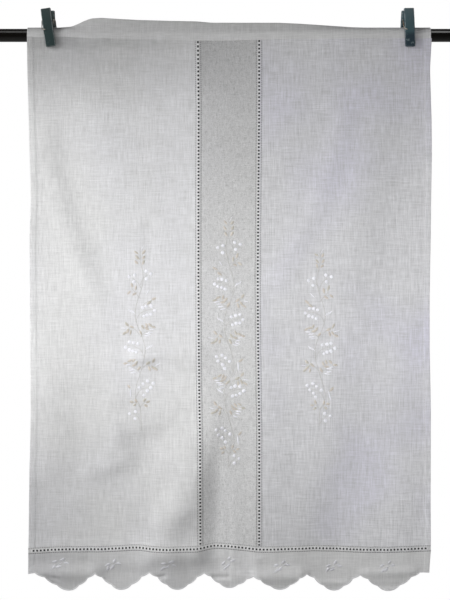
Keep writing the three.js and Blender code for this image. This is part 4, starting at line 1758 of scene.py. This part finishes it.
@dataclass
class BorderSprigs:
    """The small white sprigs on the border, one over each scallop."""

    stitches: Stitches
    places: tuple[Leaf, ...] = (
        (-208.7, -651.8, 0),
        (-143.5, -653.6, 10),
        (-75.7, -653.0, -6),
        (-1.8, -652.4, 24),
        (63.4, -655.5, 8),
        (127.5, -656.7, 4),
        (194.0, -656.1, 10),
    )
    leaves: tuple[Leaf, ...] = (
        (-5.6, 2.6, 12),
        (3.8, 5.0, 32),
        (7.6, 0.8, -14),
        (-1.4, -3.0, 24),
        (-6.0, -3.4, 48),
    )
    stem: tuple[Place, ...] = ((-10, -7), (-1, -1), (8, 4.5))
    seed: int = 7
    shift: tuple[float, float] = (0.5, 0.4)
    lengths: tuple[float, float] = (0.9, 1.2)
    widths: tuple[float, float] = (0.85, 1.1)
    turns: float = 9

    def build(self) -> Piece:
        """Build all the sprigs as one stitched piece."""
        work = Stitching("border_sprigs")
        draw = np.random.default_rng(self.seed)
        for x, z, lean in self.places:
            turn = math.radians(lean)
            for out, up, degrees in self.leaves:
                at_x = x + out * math.cos(turn) - up * math.sin(turn) + draw.normal(0, self.shift[0])
                at_z = z + out * math.sin(turn) + up * math.cos(turn) + draw.normal(0, self.shift[1])
                size = (draw.uniform(*self.lengths), draw.uniform(*self.widths))
                degrees += lean + draw.normal(0, self.turns)
                work.stamp(self.stitches.leaf, at_x, at_z, degrees, Thread.WHITE, size)
            work.stem([(x + out, z + up) for out, up in self.stem], 0.6, Thread.WHITE)
        return work.build(BEIGE_THREAD, SPRIG_THREAD, STEM_THREAD)


@dataclass
class SeamStitches:
    """The stitches along the two side hems."""

    stitches: Stitches
    top: float = -12
    foot: float = -626
    step: float = 3.1
    inset: float = 0.6
    size: float = 0.8

    def build(self) -> Piece:
        """Build the stitches as one piece."""
        work = Stitching("seam_stitches")
        for z in np.arange(self.top, self.foot, -self.step):
            for side, inwards in (("left", 1), ("right", -1)):
                x = float(SIDES.at(side, z)) + inwards * (HEM_WIDTH + self.inset)
                work.stamp(self.stitches.stitch, x, z, 90, Thread.WHITE, (self.size, self.size))
        return work.build(BEIGE_THREAD, EDGE_THREAD, STEM_THREAD)


# Rod and pegs


@dataclass
class Rod:
    """The round rod, with small chamfers at its ends."""

    name: str = "curtain_rod"
    chamfer: float = 1.0
    sides: int = 96

    def build(self) -> Piece:
        """Build the rod and replace its solid."""
        low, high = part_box(self.name)
        length, radius = high.x - low.x, (high.z - low.z) / 2
        deselect_all()
        bpy.ops.mesh.primitive_cylinder_add(
            vertices=self.sides,
            radius=radius,
            depth=length,
            rotation=(0, math.pi / 2, 0),
            location=(low + high) / 2,
        )
        piece = bpy.context.object
        piece.name = piece.data.name = f"{self.name}_bar"
        bpy.ops.object.transform_apply(location=True, rotation=True, scale=True)
        bpy.ops.object.mode_set(mode="EDIT")
        bpy.ops.mesh.select_all(action="DESELECT")
        bpy.ops.mesh.select_mode(type="EDGE")
        shape = bmesh.from_edit_mesh(piece.data)
        for edge in shape.edges:
            a, b = (point.co.x for point in edge.verts)
            edge.select = abs(a - b) < MM
        bmesh.update_edit_mesh(piece.data)
        bpy.ops.mesh.bevel(offset=self.chamfer * MM, segments=3, affect="EDGES")
        bpy.ops.object.mode_set(mode="OBJECT")
        smooth(piece, 30)
        dress(piece, "rod_black", ROD_PAINT)
        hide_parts(self.name)
        return piece


@dataclass
class Peg:
    """A spring peg: two jaws with a painted highlight on their rounded edges, and a wire spring.

    Its angles are in degrees.
    """

    name: str
    slot: str
    finish: PaintFinish
    # The lighter finish of the rounded edges: a painted highlight
    edge: PaintFinish
    rounding: float = 0.22
    merge: float = 0.004
    flat: float = 1
    sharp: float = 28

    def build(self) -> list[Piece]:
        """Build the peg's three pieces and replace their solids."""
        return [self.jaw("front"), self.jaw("back"), self.spring()]

    def copy(self, node: str, name: str) -> Piece:
        """Take a merged copy of a solid to work on."""
        piece = bpy.data.objects.new(name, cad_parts[node].data.copy())
        piece.data.materials.clear()
        bpy.context.scene.collection.objects.link(piece)
        make_active(piece)
        bpy.ops.object.mode_set(mode="EDIT")
        bpy.ops.mesh.select_all(action="SELECT")
        bpy.ops.mesh.remove_doubles(threshold=self.merge * MM)
        return piece

    def jaw(self, side: str) -> Piece:
        """Round a jaw's edges, with the painted highlight finish on them."""
        node = f"{self.name}_{side}_jaw"
        piece = self.copy(node, f"{node}_rounded")
        bpy.ops.mesh.dissolve_limited(angle_limit=math.radians(self.flat))
        dress(piece, self.slot, self.finish, self.edge)
        bpy.ops.mesh.select_all(action="DESELECT")
        bpy.ops.mesh.edges_select_sharp(sharpness=math.radians(self.sharp))
        # The rounded edges take the second finish: a painted highlight
        bpy.ops.mesh.bevel(offset=self.rounding * MM, segments=2, affect="EDGES", material=1)
        bpy.ops.object.mode_set(mode="OBJECT")
        smooth(piece, 32)
        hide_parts(node)
        return piece

    def spring(self) -> Piece:
        """Round the spring's wire."""
        node = f"{self.name}_spring"
        piece = self.copy(node, f"{node}_wire")
        bpy.ops.object.mode_set(mode="OBJECT")
        modifier = piece.modifiers.new("round", "SUBSURF")
        modifier.levels = modifier.render_levels = 1
        bpy.ops.object.modifier_apply(modifier=modifier.name)
        smooth(piece, 60)
        dress(piece, "spring_wire", WIRE)
        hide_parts(node)
        return piece


# Studio


@dataclass
class Light:
    """A soft area light, in metres and watts."""

    name: str
    place: tuple[float, float, float]
    aim: tuple[float, float, float]
    size: tuple[float, float]
    power: float
    gloss: bool = False


@dataclass
class Studio:
    """The floor, the lights and the camera, in metres."""

    distance: float = 1.6
    centre_x: float = -0.0055
    centre_z: float = -0.3278
    focal_px: float = 1291.4
    picture_height: int = 600
    sensor: float = 36.0
    clip: tuple[float, float] = (0.05, 50)
    floor_size: tuple[float, float] = (7, 5.6)
    floor_y: float = -0.6
    floor_z: float = -1.25
    surround: float = 0.18
    lights: tuple[Light, ...] = (
        Light("strip", (-0.2, -0.4, -0.345), (-0.2, 0.0, -0.345), (1.4, 0.15), 2.85),
        Light("key", (-1.6, -0.8, 0.4), (0.0, 0.0, -0.32), (0.6, 0.7), 24.0),
        Light("left_window", (-0.45, -0.8, 1.15), (-0.45, 0.0, 0.0), (0.9, 0.9), 8.5, gloss=True),
        Light("right_window", (0.45, -0.8, 1.15), (0.45, 0.0, 0.0), (0.9, 0.9), 18.0, gloss=True),
        Light("behind", (0.9, 1.2, 0.3), (0.0, 0.0, -0.35), (0.8, 0.8), 14.0),
    )

    def build(self) -> None:
        """Build the studio."""
        self.add_floor()
        self.add_world()
        self.add_camera()
        for light in self.lights:
            self.add_light(light)
        bpy.context.scene.view_settings.view_transform = "Standard"

    def add_floor(self) -> None:
        """Add the pale floor."""
        deselect_all()
        bpy.ops.mesh.primitive_plane_add(size=1, location=(0, self.floor_y, self.floor_z))
        floor = bpy.context.object
        floor.name = "studio_floor"
        floor.scale = (*self.floor_size, 1)
        bpy.ops.object.transform_apply(location=True, rotation=True, scale=True)
        floor.data.materials.append(FLOOR_PAINT.material())

    def add_world(self) -> None:
        """Surround the scene with soft white, which the camera sees at full strength."""
        world = bpy.data.worlds.new("studio")
        bpy.context.scene.world = world
        world.use_nodes = True
        graph = Graph(world.node_tree)
        seen = graph.node("LightPath").outputs["Is Camera Ray"]
        strength = Number(graph, seen) * (1 - self.surround) + self.surround
        shader = graph.node("Background", {}, {"Color": (1, 1, 1, 1), "Strength": strength})
        graph.node("OutputWorld", {}, {"Surface": shader.outputs["Background"]})

    def add_camera(self) -> None:
        """Add the camera, level and square on to the cloth."""
        data = bpy.data.cameras.new("camera")
        data.sensor_width = self.sensor
        data.lens = self.sensor * self.focal_px / self.picture_height
        data.clip_start, data.clip_end = self.clip
        camera = bpy.data.objects.new("camera", data)
        camera.location = (self.centre_x, -self.distance, self.centre_z)
        camera.rotation_euler = (math.pi / 2, 0, 0)
        bpy.context.scene.collection.objects.link(camera)
        bpy.context.scene.camera = camera

    def add_light(self, light: Light) -> None:
        """Add a light. One with gloss makes only the shine on the rod and the pegs, the others none."""
        data = bpy.data.lights.new(light.name, "AREA")
        data.shape, data.energy = "RECTANGLE", light.power
        data.size, data.size_y = light.size
        lamp = bpy.data.objects.new(light.name, data)
        lamp.location = light.place
        away = np.array(light.place) - np.array(light.aim)
        lean = math.atan2(math.hypot(away[0], away[1]), away[2])
        lamp.rotation_euler = (lean, 0, math.atan2(away[0], -away[1]))
        lamp.visible_camera = False
        lamp.visible_glossy = light.gloss
        lamp.visible_diffuse = not light.gloss
        bpy.context.scene.collection.objects.link(lamp)


# How many points a trim's path has, and where the places of its ends are read
TRIM_POINTS = 300
TRIM_TOP_Z = -20
TRIM_FOOT_Z = -625
BOTTOM_Z = -633

# Each vine's name, its place across, the height of its tip, and how far below the tip its clusters, its last
# trio and the end of its stem lie. The last number is the side of its first cluster.
VINES = (
    ("left_vine", -110.0, -260.0, (81.3, 125.6, 176.1), 209.4, 228.6, 1),
    ("centre_vine", -0.6, -224.0, (83.7, 128.1, 179.8, 215.5, 269.7), 300.5, 311.6, -1),
    ("right_vine", 111.5, -264.0, (80.0, 123.2, 174.9), 208.1, 218.5, -1),
)


def panels() -> list[Panel]:
    """The three panels, whose inner edges run a little way into the trims."""
    room = HALF_TRIM - SEAM_LAP
    left, centre_left = UPRIGHT_TRIMS.curve("left", -room), UPRIGHT_TRIMS.curve("left", room)
    centre_right, right = UPRIGHT_TRIMS.curve("right", -room), UPRIGHT_TRIMS.curve("right", room)
    return [
        Panel("left_panel", SIDES.curve("left"), left, WHITE_LINEN, "linen_white", Hem.LEFT),
        Panel("centre_panel", centre_left, centre_right, NATURAL_LINEN, "linen_natural"),
        Panel("right_panel", right, SIDES.curve("right"), TINTED_LINEN, "linen_white", Hem.RIGHT),
    ]


def trims() -> list[HemstitchTrim]:
    """The two upright trims and the bottom one."""
    made = []
    for side, finish, loose in (("left", LEFT_HEMSTITCH, 0.26), ("right", RIGHT_HEMSTITCH, 0.1)):
        middle = UPRIGHT_TRIMS.curve(side)
        top = float(HEADER.at("seam", float(middle(TRIM_TOP_Z)))) + SEAM_LAP
        foot = float(BOTTOM_TRIM.at("z", middle(TRIM_FOOT_Z))) + HALF_TRIM - SEAM_LAP
        z = np.linspace(top, foot, TRIM_POINTS)
        made.append(HemstitchTrim(f"{side}_ladder", np.column_stack((middle(z), z)), finish, loose))
    left, right = (float(SIDES.at(side, BOTTOM_Z)) for side in ("left", "right"))
    x = np.linspace(left, right, TRIM_POINTS)
    path = np.column_stack((x, BOTTOM_TRIM.at("z", x)))
    made.append(HemstitchTrim("bottom_ladder", path, BOTTOM_HEMSTITCH, plain_ends=1, rise=BOTTOM_TRIM_RISE))
    return made


def main() -> None:
    """Build the curtain, its rod and pegs, and the studio."""
    logging.basicConfig(level=logging.INFO, format="%(message)s")
    Studio().build()
    stitches = Stitches()
    pieces = [panel.build() for panel in panels()]
    pieces += [trim.build() for trim in trims()]
    pieces += ScallopBorder().build()
    pieces.append(Casing().build())
    pieces += [Vine(*vine, stitches).build() for vine in VINES]
    pieces.append(BorderSprigs(stitches).build())
    pieces.append(SeamStitches(stitches).build())
    pieces.append(Rod().build())
    pieces += Peg("left_peg", "peg_dark", DARK_PEG, DARK_PEG_EDGE_HIGHLIGHT).build()
    pieces += Peg("right_peg", "peg_slate", SLATE_PEG, SLATE_PEG_EDGE_HIGHLIGHT).build()
    for piece in pieces:
        log.info("%s: %d faces", piece.name, len(piece.data.polygons))


if __name__ == "__main__":
    main()
